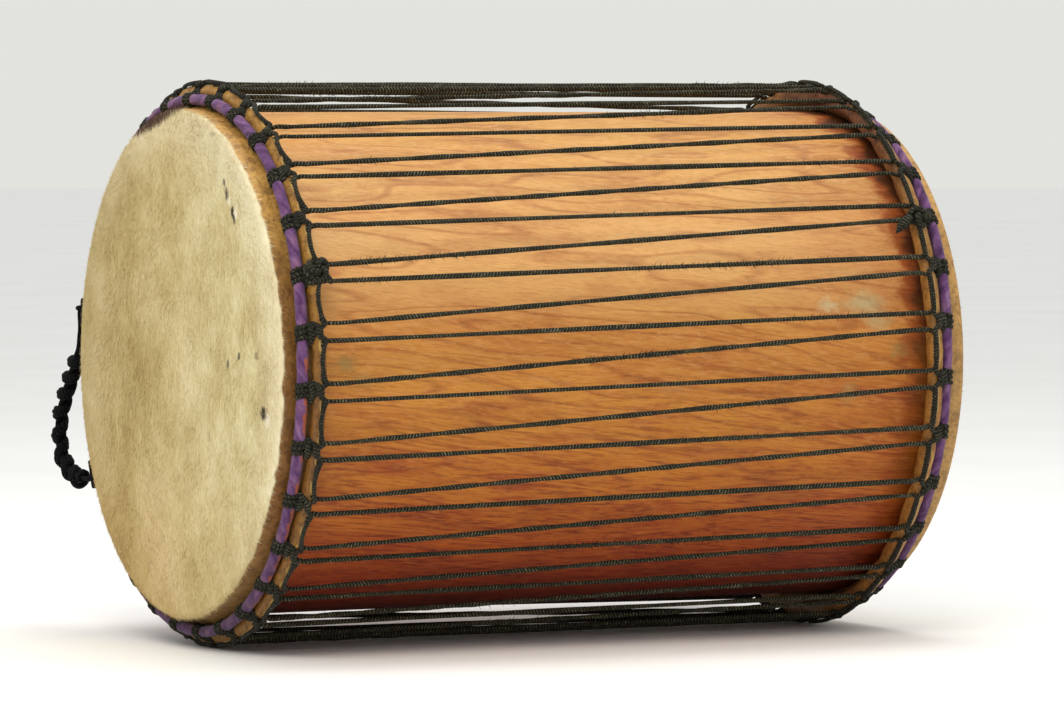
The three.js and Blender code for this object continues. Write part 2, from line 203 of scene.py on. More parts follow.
# A closed skin over a grid of places; rows and columns close on themselves, and what meets is merged
def gridMesh(name, grid, attributes, material):
    rows, columns = grid.shape[:2]
    here = np.arange(rows * columns).reshape(rows, columns)
    nextRow = np.roll(here, -1, axis=0)
    nextColumn = np.roll(here, -1, axis=1)
    corner = np.roll(nextRow, -1, axis=1)
    faces = np.stack([here, nextColumn, corner, nextRow], axis=-1).reshape(-1, 4)
    mesh = bpy.data.meshes.new(name)
    mesh.from_pydata(grid.reshape(-1, 3).tolist(), [], faces.tolist())
    for label, values in attributes.items():
        markPoints(mesh, label, values)
    tidyMesh(mesh)
    return meshObject(name, mesh, material)


# Stores a measure at each point of a mesh: a number or a direction
def markPoints(mesh, label, values):
    values = np.asarray(values, np.float32)
    single = values.size == len(mesh.vertices)
    mark = mesh.attributes.new(label, "FLOAT" if single else "FLOAT_VECTOR", "POINT")
    mark.data.foreach_set("value" if single else "vector", values.ravel())


def pointPlaces(mesh):
    places = np.zeros(len(mesh.vertices) * 3, np.float32)
    mesh.vertices.foreach_get("co", places)
    return places.reshape(-1, 3)


def tidyMesh(mesh, weld=0.001 * mm):
    work = bmesh.new()
    work.from_mesh(mesh)
    bmesh.ops.remove_doubles(work, verts=work.verts, dist=weld)
    bmesh.ops.dissolve_degenerate(work, edges=work.edges, dist=weld)
    bmesh.ops.recalc_face_normals(work, faces=work.faces)
    for face in work.faces:
        face.smooth = True
    work.to_mesh(mesh)
    work.free()


# Smooth noise that closes round the drum: a few waves of random phase
def ringNoise(angle, seed, waves, roughest):
    random = np.random.default_rng(seed)
    total = np.zeros_like(angle, float)
    for _ in range(waves):
        turns = random.integers(1, roughest)
        total += np.sin(np.radians(angle) * turns + random.uniform(0, 2 * np.pi))
    return total / math.sqrt(waves)


# A curve through given points, in metres
def smoothLine(points, closed, samples):
    points = np.asarray(points, float)
    count = len(points)
    if closed:
        around = [np.roll(points, shift, axis=0) for shift in (1, 0, -1, -2)]
    else:
        padded = np.vstack([2 * points[0] - points[1], points, 2 * points[-1] - points[-2]])
        around = [padded[i:i + count - 1] for i in range(4)]
    a, b, c, d = [part[:, None, :] for part in around]
    t = np.linspace(0, 1, samples, endpoint=False)[None, :, None]
    line = 2 * b + (c - a) * t + (2 * a - 5 * b + 4 * c - d) * t ** 2 + (3 * b - a - 3 * c + d) * t ** 3
    line = line.reshape(-1, points.shape[1]) / 2
    return line if closed else np.vstack([line, points[-1]])


# Geometry trees

# A new tree with its named inputs: the tree, its add and the inputs' sockets
def newTree(name, inputs):
    tree = bpy.data.node_groups.new(name, "GeometryNodeTree")
    for label, kind in inputs.items():
        tree.interface.new_socket(label, in_out="INPUT", socket_type="NodeSocket" + kind)
    tree.interface.new_socket("Made", in_out="OUTPUT", socket_type="NodeSocketGeometry")
    add = partial(addNode, tree)
    return tree, add, add("NodeGroupInput", out=None)


def finishTree(add, geometry, finish):
    whole = add("GeometryNodeRealizeInstances", {"Geometry": geometry})
    painted = add("GeometryNodeSetMaterial", {"Geometry": whole, "Material": finish})
    add("NodeGroupOutput", {0: painted}, out=None)


# Ropes: one tree sweeps every cord of the drum along its own line
def makeRopeTree():
    tree, add, given = newTree("layRope", {
        "Line": "Geometry", "Width": "Float", "Thickness": "Float", "Sides": "Int", "Finish": "Material"})
    length = add("GeometryNodeSplineParameter", out="Length")
    share = add("GeometryNodeInputRadius")
    marked = add("GeometryNodeStoreNamedAttribute", {
        "Geometry": given["Line"], "Name": "ropeAlong", "Value": length}, data_type="FLOAT", domain="POINT")
    circle = add("GeometryNodeCurvePrimitiveCircle", {"Resolution": given["Sides"], "Radius": 1.0})
    place = add("GeometryNodeInputPosition")
    section = add("GeometryNodeStoreNamedAttribute", {
        "Geometry": circle, "Name": "ropeRound", "Value": place}, data_type="FLOAT_VECTOR", domain="POINT")
    sizes = add("CombineXYZ", {0: given["Width"], 1: given["Thickness"], 2: 1.0})
    halves = add("VectorMath", {0: sizes, 1: (0.5, 0.5, 1)}, operation="MULTIPLY")
    shaped = add("GeometryNodeTransform", {"Geometry": section, "Scale": halves})
    swept = add("GeometryNodeCurveToMesh", {
        "Curve": marked, "Profile Curve": shaped, "Scale": share, "Fill Caps": True})
    finishTree(add, swept, given["Finish"])
    return tree


# Runs a tree on an object with its named inputs and keeps the result as a plain mesh
def runTree(source, tree, name, values):
    modifier = source.modifiers.new("nodes", "NODES")
    modifier.node_group = tree
    for item in tree.interface.items_tree:
        if item.name in values and item.in_out == "INPUT":
            modifier[item.identifier] = values[item.name]
    graph = bpy.context.evaluated_depsgraph_get()
    mesh = bpy.data.meshes.new_from_object(source.evaluated_get(graph), depsgraph=graph)
    mesh.name = name
    source.modifiers.remove(modifier)
    return mesh


ropeTree = makeRopeTree()


# lines is a list of (points, closed, radius shares, tilts); shares and tilts may be None
def layRope(name, lines, width, thickness, sides, material, ground=True):
    curve = bpy.data.curves.new(name + "Line", "CURVE")
    curve.dimensions = "3D"
    curve.twist_mode = "MINIMUM"
    for points, closed, shares, tilts in lines:
        spline = curve.splines.new("POLY")
        spline.points.add(len(points) - 1)
        spline.points.foreach_set("co", np.column_stack([points, np.ones(len(points))]).ravel())
        if shares is not None:
            spline.points.foreach_set("radius", np.asarray(shares, float))
        if tilts is not None:
            spline.points.foreach_set("tilt", np.asarray(tilts, float))
        spline.use_cyclic_u = closed
    source = bpy.data.objects.new(name + "Line", curve)
    bpy.context.scene.collection.objects.link(source)
    mesh = runTree(source, ropeTree, name, {
        "Width": width * mm, "Thickness": thickness * mm, "Sides": sides, "Finish": material})
    bpy.data.objects.remove(source)
    for face in mesh.polygons:
        face.use_smooth = True
    if ground:
        flattenOnGround(mesh)
    return meshObject(name, mesh)


# What the drum lies on is pressed flat
def flattenOnGround(mesh):
    places = pointPlaces(mesh)
    places[:, 2] = np.maximum(places[:, 2], 0.0)
    mesh.vertices.foreach_set("co", places.ravel())
    mesh.update()


def putOnDrum(piece, body, slot, *stoodFor):
    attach(piece, body)
    if stoodFor:
        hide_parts(*stoodFor)


# Finishes

# Khaya log, hewn, scraped and oiled: long soft grain with the contour lines of its growth layers, red streaks
# low down, soot by the rear ring and pale stains; darker towards the underside, partly painted shade
woodFinish = {
    "slope": 0.1, "waver": 26,         # the grain climbs a little, and wanders this far in mm
    # length along the grain and width across it in mm, detail, roughness
    "noises": {"waver": (260, 90, 2.0, 0.5), "figure": (520, 60, 2.0, 0.45), "cloudy": (80, 26, 4.0, 0.6),
               "grain": (44, 2.4, 4.0, 0.6), "fibres": (13, 1.0, 3.0, 0.62), "pores": (7, 0.8, 2.0, 0.5),
               "veins": (46, 2.6, 5.0, 0.68), "red": (120, 14, 5.0, 0.66), "fleck": (13, 3.2, 4.0, 0.65),
               "crack": (24, 1.1, 3.0, 0.55), "ragged": (42, 26, 4.0, 0.6)},
    "growthLines": 10,         # how many dark lines follow the figure
    # the wood's tones and its pale flecks' tones, at shares of the way up between two heights
    "reach": (30, 440),
    # both darken towards the underside: partly the wood's own redder tone, partly painted shade
    "heights": [(0.0, "#661603"), (0.08, "#9A3A07"), (0.16, "#BA6010"), (0.26, "#C97C1E"), (0.36, "#CE8826"),
                (0.5, "#D5953A"), (0.6, "#D79B48"), (0.68, "#E0AC67"), (0.8, "#ECBC7A"), (0.9, "#E2B068"),
                (1.0, "#DFAA59")],
    "flecks": [(0.0, "#983E12"), (0.16, "#C06A28"), (0.3, "#C87C3A"), (0.6, "#DCA060"), (1.0, "#EABA80")],
    "shade": (160, 270),       # along the drum, from where the wood darkens towards the rear
    # soot: along the drum, how ragged its edge is, and the heights between which it grows thick
    "soot": (264, 288), "sootReach": 70, "sootHeights": (170, 310),
    "stainBlur": 28, "stainGrain": 9.09,
    # x, angle from the top, half length, half width, depth of colour, colour
    "stains": [(197.5, 76.8, 9, 5.5, 0.7, "#D2C294"), (233, 76.4, 17, 9, 0.75, "#C2B180"),
               (245, 80.6, 13, 7, 0.65, "#BCA878"), (264, 87.4, 8, 6, 0.5, "#8E7C46"),
               (214, 97.2, 6, 9, 0.45, "#9A8A54"), (-268, 88, 9, 6, 0.6, "#8E7A42"),
               (-252, 92, 14, 5, 0.45, "#9C7C40"), (225, 69, 22, 5, 0.3, "#B89C66"),
               (40, 95, 18, 5, 0.22, "#D8A868")],
}


def makeWood():
    material, add = newMaterial("oiledKhayaWood")
    w = woodFinish
    place = add("TexCoord", out="Object")
    x, y, z = add("SeparateXYZ", {0: place}, out=None)
    climbed = add("Math", {0: x, 1: w["slope"], 2: z}, operation="MULTIPLY_ADD")
    flowing = add("CombineXYZ", {0: x, 1: y, 2: climbed})
    noise = {}
    for name, (along, across, detail, rough) in w["noises"].items():
        scaled = add("Mapping", {
            "Vector": flowing, "Scale": (1 / (along * mm), 1 / (across * mm), 1 / (across * mm))})
        noise[name], wander = add("TexNoise", {
            "Vector": scaled, "Scale": 1.0, "Detail": detail, "Roughness": rough}, out=None)
        if name == "waver":
            reach = (0, w["waver"] * mm, w["waver"] * mm)
            flowing = add("VectorMath", {0: wander, 1: reach, 2: flowing}, operation="MULTIPLY_ADD")
    low = add("MapRange", {"Value": z, **overStretch(w["reach"])})
    turned = add("Math", {0: noise["figure"], 1: w["growthLines"] * 2 * math.pi}, operation="MULTIPLY")
    lines = add("Math", {0: turned}, operation="SINE")
    under = add("MapRange", {"Value": low, "From Min": 0.7, "From Max": 0.2, "To Max": 0.65})
    veined = add("MapRange", {"Value": low, "From Min": 0.72, "From Max": 0.22, "To Max": 0.7})
    nearRear = add("MapRange", {"Value": x, **overStretch(w["shade"])})
    flecked = add("MapRange", {"Value": noise["fleck"], "From Min": 0.48, "From Max": 0.68, "To Max": 0.5})
    # soot left where the rear ring's skin was dried; lower down there is little of it
    shifted = add("Math", {0: noise["ragged"], 1: w["sootReach"] * mm, 2: x}, operation="MULTIPLY_ADD")
    edges = [edge + w["sootReach"] / 2 for edge in w["soot"]]
    soot = add("MapRange", {"Value": shifted, **overStretch(edges)})
    sootAndShade = add("MapRange", {"Value": z, **overStretch(w["sootHeights"]), "To Min": 0.35, "To Max": 0.92})
    # tones by height, darker towards the underside: partly the wood's own redder tone, partly painted shade
    colour = add("ValToRGB", {0: low}, stops=w["heights"])
    colour = paintLayers(add, colour, [
        (0.3, "MULTIPLY", [(0.32, "#D0925E"), (0.48, "#F8E6CE"), (0.6, "#FFFFFF")], noise["figure"]),
        (0.36, "MULTIPLY", [(0.7, "#FFFFFF"), (0.95, "#D09468"), (1.0, "#98562A")], lines),
        (0.34, "MULTIPLY", [(0.34, "#C08456"), (0.5, "#F8F0E6"), (0.66, "#FFFFFF")], noise["cloudy"]),
        (0.16, "MULTIPLY", [(0.34, "#BC7C50"), (0.5, "#FFFFFF")], noise["grain"]),
        (veined, "MULTIPLY", [(0.38, "#8E4218"), (0.46, "#E0AC80"), (0.52, "#FFFFFF")], noise["veins"]),
        (0.28, "MULTIPLY", [(0.34, "#B0704A"), (0.52, "#F6EADC"), (0.68, "#FFFFFF")], noise["fibres"]),
        (0.4, "MULTIPLY", [(0.0, "#FFFFFF"), (1.0, "#E2AE86")], nearRear),
        (0.35, "MULTIPLY", [(0.26, "#8A4A28"), (0.36, "#FFFFFF")], noise["pores"]),
        (0.7, "MULTIPLY", [(0.22, "#3A1A0C"), (0.26, "#FFFFFF")], noise["crack"]),
        (under, "MULTIPLY", [(0.5, "#FFFFFF"), (0.66, "#D0744A"), (0.8, "#A04A2A")], noise["red"]),
        (flecked, "MIX", w["flecks"], low),
        (sootAndShade, "MULTIPLY", [(0.0, "#FFFFFF"), (0.42, "#C68C60"), (1.0, "#4C220C")], soot),
    ])
    # dried splashes, soft at their edges
    blur = add("TexNoise", {
        "Vector": place, "Scale": 1 / (w["stainGrain"] * mm), "Detail": 6.0, "Roughness": 0.75}, out=1)
    blurred = add("VectorMath", {0: blur, 1: (w["stainBlur"] * mm,) * 3, 2: place}, operation="MULTIPLY_ADD")
    for along, angle, halfLength, halfWidth, depth, tint in w["stains"]:
        middle = onDrum(along * mm, drum["shellRadius"] * mm, angle) + w["stainBlur"] * mm / 2
        away = add("VectorMath", {0: blurred, 1: tuple(middle)}, operation="SUBTRACT")
        sizes = (1 / (halfLength * mm), 1 / (halfWidth * mm), 1 / (halfWidth * mm))
        scaled = add("VectorMath", {0: away, 1: sizes}, operation="MULTIPLY")
        far = add("VectorMath", {0: scaled}, out=1, operation="LENGTH")
        spot = add("MapRange", {"Value": far, "From Min": 1.55, "From Max": 0.35, "To Max": depth})
        colour = paintLayers(add, colour, [(spot, "MIX", hexColour(tint))])
    rough = add("MapRange", {"Value": noise["grain"], "To Min": 0.62, "To Max": 0.46})
    relief = add("Math", {0: noise["grain"], 1: noise["pores"]}, operation="ADD")
    finishMaterial(add, colour, rough, relief, 0.6, 0.5, Specular_IOR_Level=0.4)
    return material


# Calf hide with its hair on: cream to tan, darker patches, small scars
hairFinish = {
    "mottleSize": 120, "streakWidth": 1.3, "streakLength": 9, "streakDepth": 50,
    "front": [(0.5, "#AE9A64"), (0.64, "#CEC08F"), (0.78, "#E2DAB2"), (0.95, "#F6F0D8")],
    "rear": [(0.5, "#5A3B22"), (0.66, "#A07E4C"), (0.74, "#D6C796"), (0.95, "#E8DFBA")],
    "aside": (-200, 170),      # across the face, from tan to cream
    "golden": (-220, -40),     # up the front face, from gold to cream
    "brushed": (165, 214),     # out from the middle, paler where the hair turns outwards over the rim
    # the front face's marks: place in mm from its middle (towards -Y, up), half sizes, depth and colour
    "marks": [(104, 158.5, 2.4, 3.4, 0.8, "#5A5446"), (109, 149, 3, 6, 0.9, "#453A2C"),
              (115, 143, 2, 5, 0.7, "#F4EFDC"), (121, 134, 3, 5.5, 1.0, "#33281C"),
              (125, 127.5, 2.6, 5, 1.0, "#3A2A1C"), (128, 134, 2.4, 6, 0.8, "#F6F1E0"),
              (135, 12, 3, 3.6, 0.9, "#575244"), (112, 5, 2.4, 4.4, 0.85, "#5E5848"),
              (170, 13.5, 2.6, 3.6, 0.7, "#6A6452"), (193, -40, 4.5, 6, 0.6, "#F4F0E2"),
              (185, -34, 6, 6, 1.0, "#4A4030"), (80, 199, 6, 2.4, 0.5, "#9A9070"),
              (70, -60, 2.0, 5, 0.5, "#6A6452")],
    "markSlant": 16,           # how far the streaks draw out a mark's edge
    # the dark patch on the rim: middle and half width in degrees, the rim's radius, and its reach inwards
    "patch": {"angle": -13, "half": 15, "rim": 231, "reach": 11, "ragged": 20},
}


def faceSpot(add, across, up, spot):
    y, z, halfWidth, halfHeight, depth = spot
    parts = []
    for value, middle, half in ((across, y, halfWidth), (up, z, halfHeight)):
        away = add("Math", {0: value, 1: -middle * mm}, operation="ADD")
        share = add("Math", {0: away, 1: 1 / (half * mm)}, operation="MULTIPLY")
        parts.append(add("Math", {0: share, 1: 2.0}, operation="POWER"))
    total = add("Math", {0: parts[0], 1: parts[1]}, operation="ADD")
    return add("MapRange", {"Value": total, "From Min": 1.3, "From Max": 0.4, "To Max": depth})


# Hair colour at a place on either face; place is a position in the drum's frame
def hairColour(add, place, label):
    f = hairFinish
    centred = add("VectorMath", {0: place, 1: (0, -axisY, -axisZ)}, operation="ADD")
    parts = add("SeparateXYZ", {0: centred}, out=None)
    across = add("Math", {0: parts[1], 1: -1.0}, operation="MULTIPLY")
    mottle = add("TexNoise", {
        "Vector": place, "Scale": 1 / (f["mottleSize"] * mm), "Detail": 5.0, "Roughness": 0.6})
    sizes = [1 / (f[name] * mm) for name in ("streakDepth", "streakWidth", "streakLength")]
    squeezed = add("Mapping", {"Vector": place, "Scale": sizes})
    streak = add("TexNoise", {
        "Vector": squeezed, "Scale": 1.0, "Detail": 5.0, "Roughness": 0.65, "Distortion": 0.6})
    tone = add("Math", {0: streak, 1: 0.5, 2: mottle}, operation="MULTIPLY_ADD")
    colour = add("ValToRGB", {0: tone}, stops=f[label])
    # creamier towards -Y, tan the other way
    aside = add("MapRange", {"Value": across, **overStretch(f["aside"])})
    colour = paintLayers(add, colour, [
        (1.0, "MULTIPLY", [(0.0, "#D4C5AA"), (0.5, "#EAE0CE"), (1.0, "#FFFFFF")], aside)])
    return frontHair(add, colour, centred, across, aside, streak) if label == "front" else colour


# What the front face alone shows: gold low down, hair brushed paler at the rim, the dark patch and the marks
def frontHair(add, colour, centred, across, aside, streak):
    f, patch = hairFinish, hairFinish["patch"]
    up = add("SeparateXYZ", {0: centred}, out=2)
    flat = add("VectorMath", {0: (0, 1, 1), 1: centred}, operation="MULTIPLY")
    radius = add("VectorMath", {0: flat}, out=1, operation="LENGTH")
    low = add("MapRange", {"Value": up, **overStretch(f["golden"])})
    golden = add("Math", {0: aside, 1: -0.8, 2: 1.0}, operation="MULTIPLY_ADD")
    brushed = add("MapRange", {"Value": radius, **overStretch(f["brushed"]), "To Max": 0.4})
    for share in (aside, low):
        brushed = add("Math", {0: brushed, 1: share}, operation="MULTIPLY")
    # the patch has a ragged edge: its depth from the rim and its width add up to 1 there
    ragged = add("Math", {0: streak, 1: patch["ragged"] * mm, 2: radius}, operation="MULTIPLY_ADD")
    fromRim = add("Math", {0: -1.0, 1: ragged, 2: patch["rim"] * mm}, operation="MULTIPLY_ADD")
    deep = add("Math", {0: fromRim, 1: patch["reach"] * mm}, operation="DIVIDE")
    around = add("Math", {0: across, 1: up}, operation="ARCTAN2")
    turned = add("Math", {0: around, 1: -math.radians(patch["angle"])}, operation="ADD")
    wide = add("Math", {0: turned, 1: math.radians(patch["half"])}, operation="DIVIDE")
    wide = add("Math", {0: wide, 1: 2.0}, operation="POWER")
    total = add("Math", {0: deep, 1: wide}, operation="ADD")
    dark = add("MapRange", {"Value": total, "From Min": 1.25, "From Max": 0.85})
    slant = add("Math", {0: streak, 1: f["markSlant"] * mm, 2: across}, operation="MULTIPLY_ADD")
    slant = add("Math", {0: slant, 1: -f["markSlant"] * mm / 2}, operation="ADD")
    marks = [(faceSpot(add, slant, up, mark), "MIX", hexColour(tint)) for *mark, tint in f["marks"]]
    return paintLayers(add, colour, [
        (golden, "MULTIPLY", [(0.0, "#E2CB9C"), (0.4, "#EFE2C6"), (1.0, "#FFFFFF")], low),
        (brushed, "MIX", hexColour("#F4E8CE")),
        (dark, "MIX", [(0.35, "#2A1A10"), (0.55, "#543824"), (0.7, "#7A5C3C")], streak), *marks])


def makeHair(label):
    material, add = newMaterial(label + "CalfHair")
    root = add("Attribute", out="Vector", attribute_name="hairRoot")
    finishMaterial(add, hairColour(add, root, label), 0.55, Specular_IOR_Level=0.3)
    return material


# The skin itself: hairy on the face, scraped bare over the rim, golden on the rolled edge
skinFinish = {
    "reach": (20, 460),
    "blotchSize": 13.33, "speckSize": 4.17, "creaseSize": 7.69,
    # tones of the bare skin and of its roll at shares of the way up, and how far the blotches count
    "front": {"bare": [(0.0, "#A08454"), (0.25, "#946A3C"), (0.5, "#86602F"), (0.68, "#8E6832"),
                       (0.82, "#C0984E"), (1.0, "#D4AA60")],
              "roll": [(0.0, "#8E6628"), (0.45, "#805826"), (0.7, "#A07834"), (1.0, "#AC843C")],
              "blotched": 0.5},
    "rear": {"bare": [(0.0, "#BC965A"), (0.5, "#BE985C"), (1.0, "#CEA668")],
             "roll": [(0.0, "#A5743A"), (0.5, "#A97A3A"), (1.0, "#A87E42")], "blotched": 0.4},
}


def makeSkin(label):
    material, add = newMaterial(label + "CalfHide")
    f, tones = skinFinish, skinFinish[label]
    place = add("TexCoord", out="Object")
    hairy, edge, rolled, sootAndShade = (add("Attribute", out="Fac", attribute_name=name)
                                  for name in ("hairCover", "cutEdge", "rolled", "sootAndShade"))
    height = add("SeparateXYZ", {0: place}, out=2)
    up = add("MapRange", {"Value": height, **overStretch(f["reach"])})
    wide = add("TexNoise", {
        "Vector": place, "Scale": 1 / (f["blotchSize"] * mm), "Detail": 6.0, "Roughness": 0.68})
    fine = add("TexNoise", {
        "Vector": place, "Scale": 1 / (f["speckSize"] * mm), "Detail": 5.0, "Roughness": 0.75})
    colour = paintLayers(add, add("ValToRGB", {0: up}, stops=tones["bare"]), [
        (rolled, "MIX", tones["roll"], up),
        # soot and painted shade on the rear roll's inner side near the top
        (sootAndShade, "MIX", hexColour("#6E4534")),
        (tones["blotched"], "MULTIPLY", [(0.38, "#6E4628"), (0.51, "#F0E0C8"), (0.64, "#FFFAE8")], wide),
        (0.5, "MULTIPLY", [(0.38, "#7E5A3A"), (0.52, "#F4ECE0"), (0.64, "#FFFAEC")], fine),
        (edge, "MIX", hexColour("#C2A259")),
        (hairy, "MIX", hairColour(add, place, label))])
    crease = add("TexNoise", {
        "Vector": place, "Scale": 1 / (f["creaseSize"] * mm), "Detail": 3.0, "Distortion": 1.5})
    relief = add("Math", {0: crease, 1: 1.5, 2: fine}, operation="MULTIPLY_ADD")
    rough = add("MapRange", {"Value": hairy, "To Min": 0.5, "To Max": 0.85})
    finishMaterial(add, colour, rough, relief, 0.9, 0.6, Specular_IOR_Level=0.35)
    return material


# Woven cotton strip, dyed violet: paler on its high folds and darker in their hollows, as painted light and
# shade, brownish in patches, rubbed to rust where worn, and darker low down, as painted shade
clothFinish = {
    # size, detail, roughness
    "patches": (14.3, 5.0, 0.6), "tears": (5.26, 4.0, 0.6), "threads": (0.667, 2.0, 0.5),
    "violet": [(0.4, "#341D38"), (0.62, "#5A3963"), (0.78, "#6E4B76"), (0.95, "#88668F")],
    "brown": "#7E5256", "rust": "#A8582F", "paintedShadeColour": "#22121F",
    "paintedShadeBelow": (20, 200),        # heights between which the painted shade low on the rings fades out
}


def makeCloth():
    material, add = newMaterial("violetCottonStrip")
    f = clothFinish
    place = add("TexCoord", out="Object")
    fold, worn = (add("Attribute", out="Fac", attribute_name=name) for name in ("fold", "worn"))
    patch, torn, thread = (add("TexNoise", {
        "Vector": place, "Scale": 1 / (size * mm), "Detail": detail, "Roughness": rough})
        for size, detail, rough in (f["patches"], f["tears"], f["threads"]))
    # paler on the fold crests and darker in their hollows: painted light and shade
    tone = add("Math", {0: fold, 1: 0.45, 2: patch}, operation="MULTIPLY_ADD")
    brown = add("MapRange", {"Value": patch, "From Min": 0.52, "From Max": 0.7, "To Max": 0.6})
    rubbed = add("Math", {0: torn, 1: 2.2, 2: worn}, operation="MULTIPLY_ADD")
    rusty = add("MapRange", {"Value": rubbed, "From Min": 1.72, "From Max": 1.95, "To Max": 0.85})
    # painted shade: the cloth darkens towards the floor
    height = add("SeparateXYZ", {0: place}, out=2)
    paintedShadeBelow = add("MapRange", {"Value": height, **overStretch(f["paintedShadeBelow"]), "To Min": 0.4, "To Max": 0.0})
    violet = add("ValToRGB", {0: tone}, stops=f["violet"])
    colour = paintLayers(add, violet, [
        (brown, "MIX", hexColour(f["brown"])), (rusty, "MIX", hexColour(f["rust"])),
        (paintedShadeBelow, "MIX", hexColour(f["paintedShadeColour"]))])
    finishMaterial(add, colour, 0.9, thread, 0.4, 0.5,
                   Specular_IOR_Level=0.2, Sheen_Weight=0.12, Sheen_Roughness=0.5)
    return material


# Braided polyester cord: its strands slant to both sides of two seams; drawn a little coarse so that it shows
braidFinish = {
    "slant": 2.2,              # radians of the strands' wave for each radian round the cord
    "dustSize": 22.2, "fibreSize": 1.54,
    # name, tone between the strands and on them, length of a strand's wave in mm, tone of the dust, gloss
    "rope": ("oliveBlackPolyesterBraid", "#17170F", "#434030", 3.0, "#78745A", 0.15),
    "hitch": ("oliveBlackTightBraid", "#1A1A14", "#2F2E24", 2.6, "#5A5744", 0.15),
    "handle": ("blackNylonBraid", "#020202", "#0A0A0C", 3.0, "#18181B", 0.08),
}


def makeBraid(cord):
    f = braidFinish
    name, dark, light, pitch, dusty, gloss = f[cord]
    material, add = newMaterial(name)
    along = add("Attribute", out="Fac", attribute_name="ropeAlong")
    around = add("Attribute", out="Vector", attribute_name="ropeRound")
    parts = add("SeparateXYZ", {0: around}, out=None)
    angle = add("Math", {0: parts[1], 1: parts[0]}, operation="ARCTAN2")
    folded = add("Math", {0: angle}, operation="ABSOLUTE")
    slanted = add("Math", {0: folded, 1: f["slant"]}, operation="MULTIPLY")
    phase = add("Math", {0: along, 1: 2 * math.pi / (pitch * mm), 2: slanted}, operation="MULTIPLY_ADD")
    wave = add("Math", {0: phase}, operation="SINE")
    weave = add("MapRange", {"Value": wave, "From Min": -0.7, "From Max": 0.8})
    place = add("TexCoord", out="Object")
    dust = add("TexNoise", {
        "Vector": place, "Scale": 1 / (f["dustSize"] * mm), "Detail": 5.0, "Roughness": 0.65})
    fibres = add("TexNoise", {"Vector": place, "Scale": 1 / (f["fibreSize"] * mm), "Detail": 3.0})
    dusted = add("MapRange", {"Value": dust, "From Min": 0.45, "From Max": 0.72, "To Max": 0.24})
    fibred = add("MapRange", {
        "Value": fibres, "From Min": 0.4, "From Max": 0.66, "To Min": -0.16, "To Max": 0.3})
    dusted = add("Math", {0: dusted, 1: fibred}, operation="ADD")
    tone = add("Math", {0: weave, 1: 0.62, 2: dusted}, operation="MULTIPLY_ADD")
    colour = add("ValToRGB", {0: tone}, stops=[(0.2, dark), (0.66, light), (1.0, dusty)])
    finishMaterial(add, colour, 0.8, weave, 0.8, 0.9, Specular_IOR_Level=gloss, Sheen_Weight=gloss / 5)
    return material


# Mild steel rod under the cloth and the hide: dull grey with brown bloom
steelFinish = {"bloomSize": 11.1, "tones": [(0.4, "#8A8C8F"), (0.65, "#6B5444")]}


def makeSteel():
    material, add = newMaterial("mildSteelRod")
    place = add("TexCoord", out="Object")
    bloom = add("TexNoise", {"Vector": place, "Scale": 1 / (steelFinish["bloomSize"] * mm), "Detail": 5.0})
    colour = add("ValToRGB", {0: bloom}, stops=steelFinish["tones"])
    finishMaterial(add, colour, 0.45, bloom, 0.3, 0.4, Metallic=0.9)
    return material


wood, steel, cloth = makeWood(), makeSteel(), makeCloth()
ropeBraid, hitchBraid, handleBraid = (makeBraid(cord) for cord in ("rope", "hitch", "handle"))
print("finishes made")


# Shell: one hewn log, both edges rounded over under the hides
shellShape = {
    "segments": 360, "lengthSteps": 70, "boreSteps": 12,
    "endGap": 2.8, "edgeRounding": 3.5, "edgeLand": 3.5, "boreFlare": 5, "boreInset": 30,
    "hewnDepth": 0.45, "hewnTo": 290, "hewnFade": 50,      # to where, from the middle, the hewing shows
}


def makeShell():
    s = shellShape
    start, finish = (mounts[name][0] for name in ("front_head_face", "rear_head_face"))
    start, finish = start + s["endGap"] * mm, finish - s["endGap"] * mm
    outer, rounding, inset = drum["shellRadius"] * mm, s["edgeRounding"] * mm, s["boreInset"] * mm
    bore = outer - drum["shellWall"] * mm
    turn = np.radians(np.linspace(0, 90, 7))
    bend = [(rounding * (1 - math.cos(a)), outer - rounding * (1 - math.sin(a))) for a in turn]
    land = outer - rounding - s["edgeLand"] * mm
    outline = [(start + s["boreFlare"] * mm, bore), (start, land)]
    outline += [(start + depth, radius) for depth, radius in bend]
    body = np.linspace(start + 2 * rounding, finish - 2 * rounding, s["lengthSteps"])
    outline += [(x, outer) for x in body]
    outline += [(finish - depth, radius) for depth, radius in bend[::-1]]
    outline += [(finish, land), (finish - s["boreFlare"] * mm, bore)]
    outline += [(x, bore) for x in np.linspace(finish - inset, start + inset, s["boreSteps"])]
    x, radius = np.array(outline).T
    angle = np.arange(s["segments"]) * 360 / s["segments"]
    hewn = np.outer(ringNoise(angle, 5, 7, 30), np.cos(x * 9 + 0.7))
    hewn += np.outer(ringNoise(angle, 6, 7, 44), np.sin(x * 14))
    free = riseBetween(np.abs(x), s["hewnTo"] * mm, (s["hewnTo"] - s["hewnFade"]) * mm)
    sunk = s["hewnDepth"] * mm * (hewn * 0.5 + 0.5) * free
    return gridMesh("drumShell", onDrum(x[None, :], radius[None, :] - sunk, angle[:, None]), {}, wood)


putOnDrum(makeShell(), "drum", "shell_wood", "shell")
print("shell made")


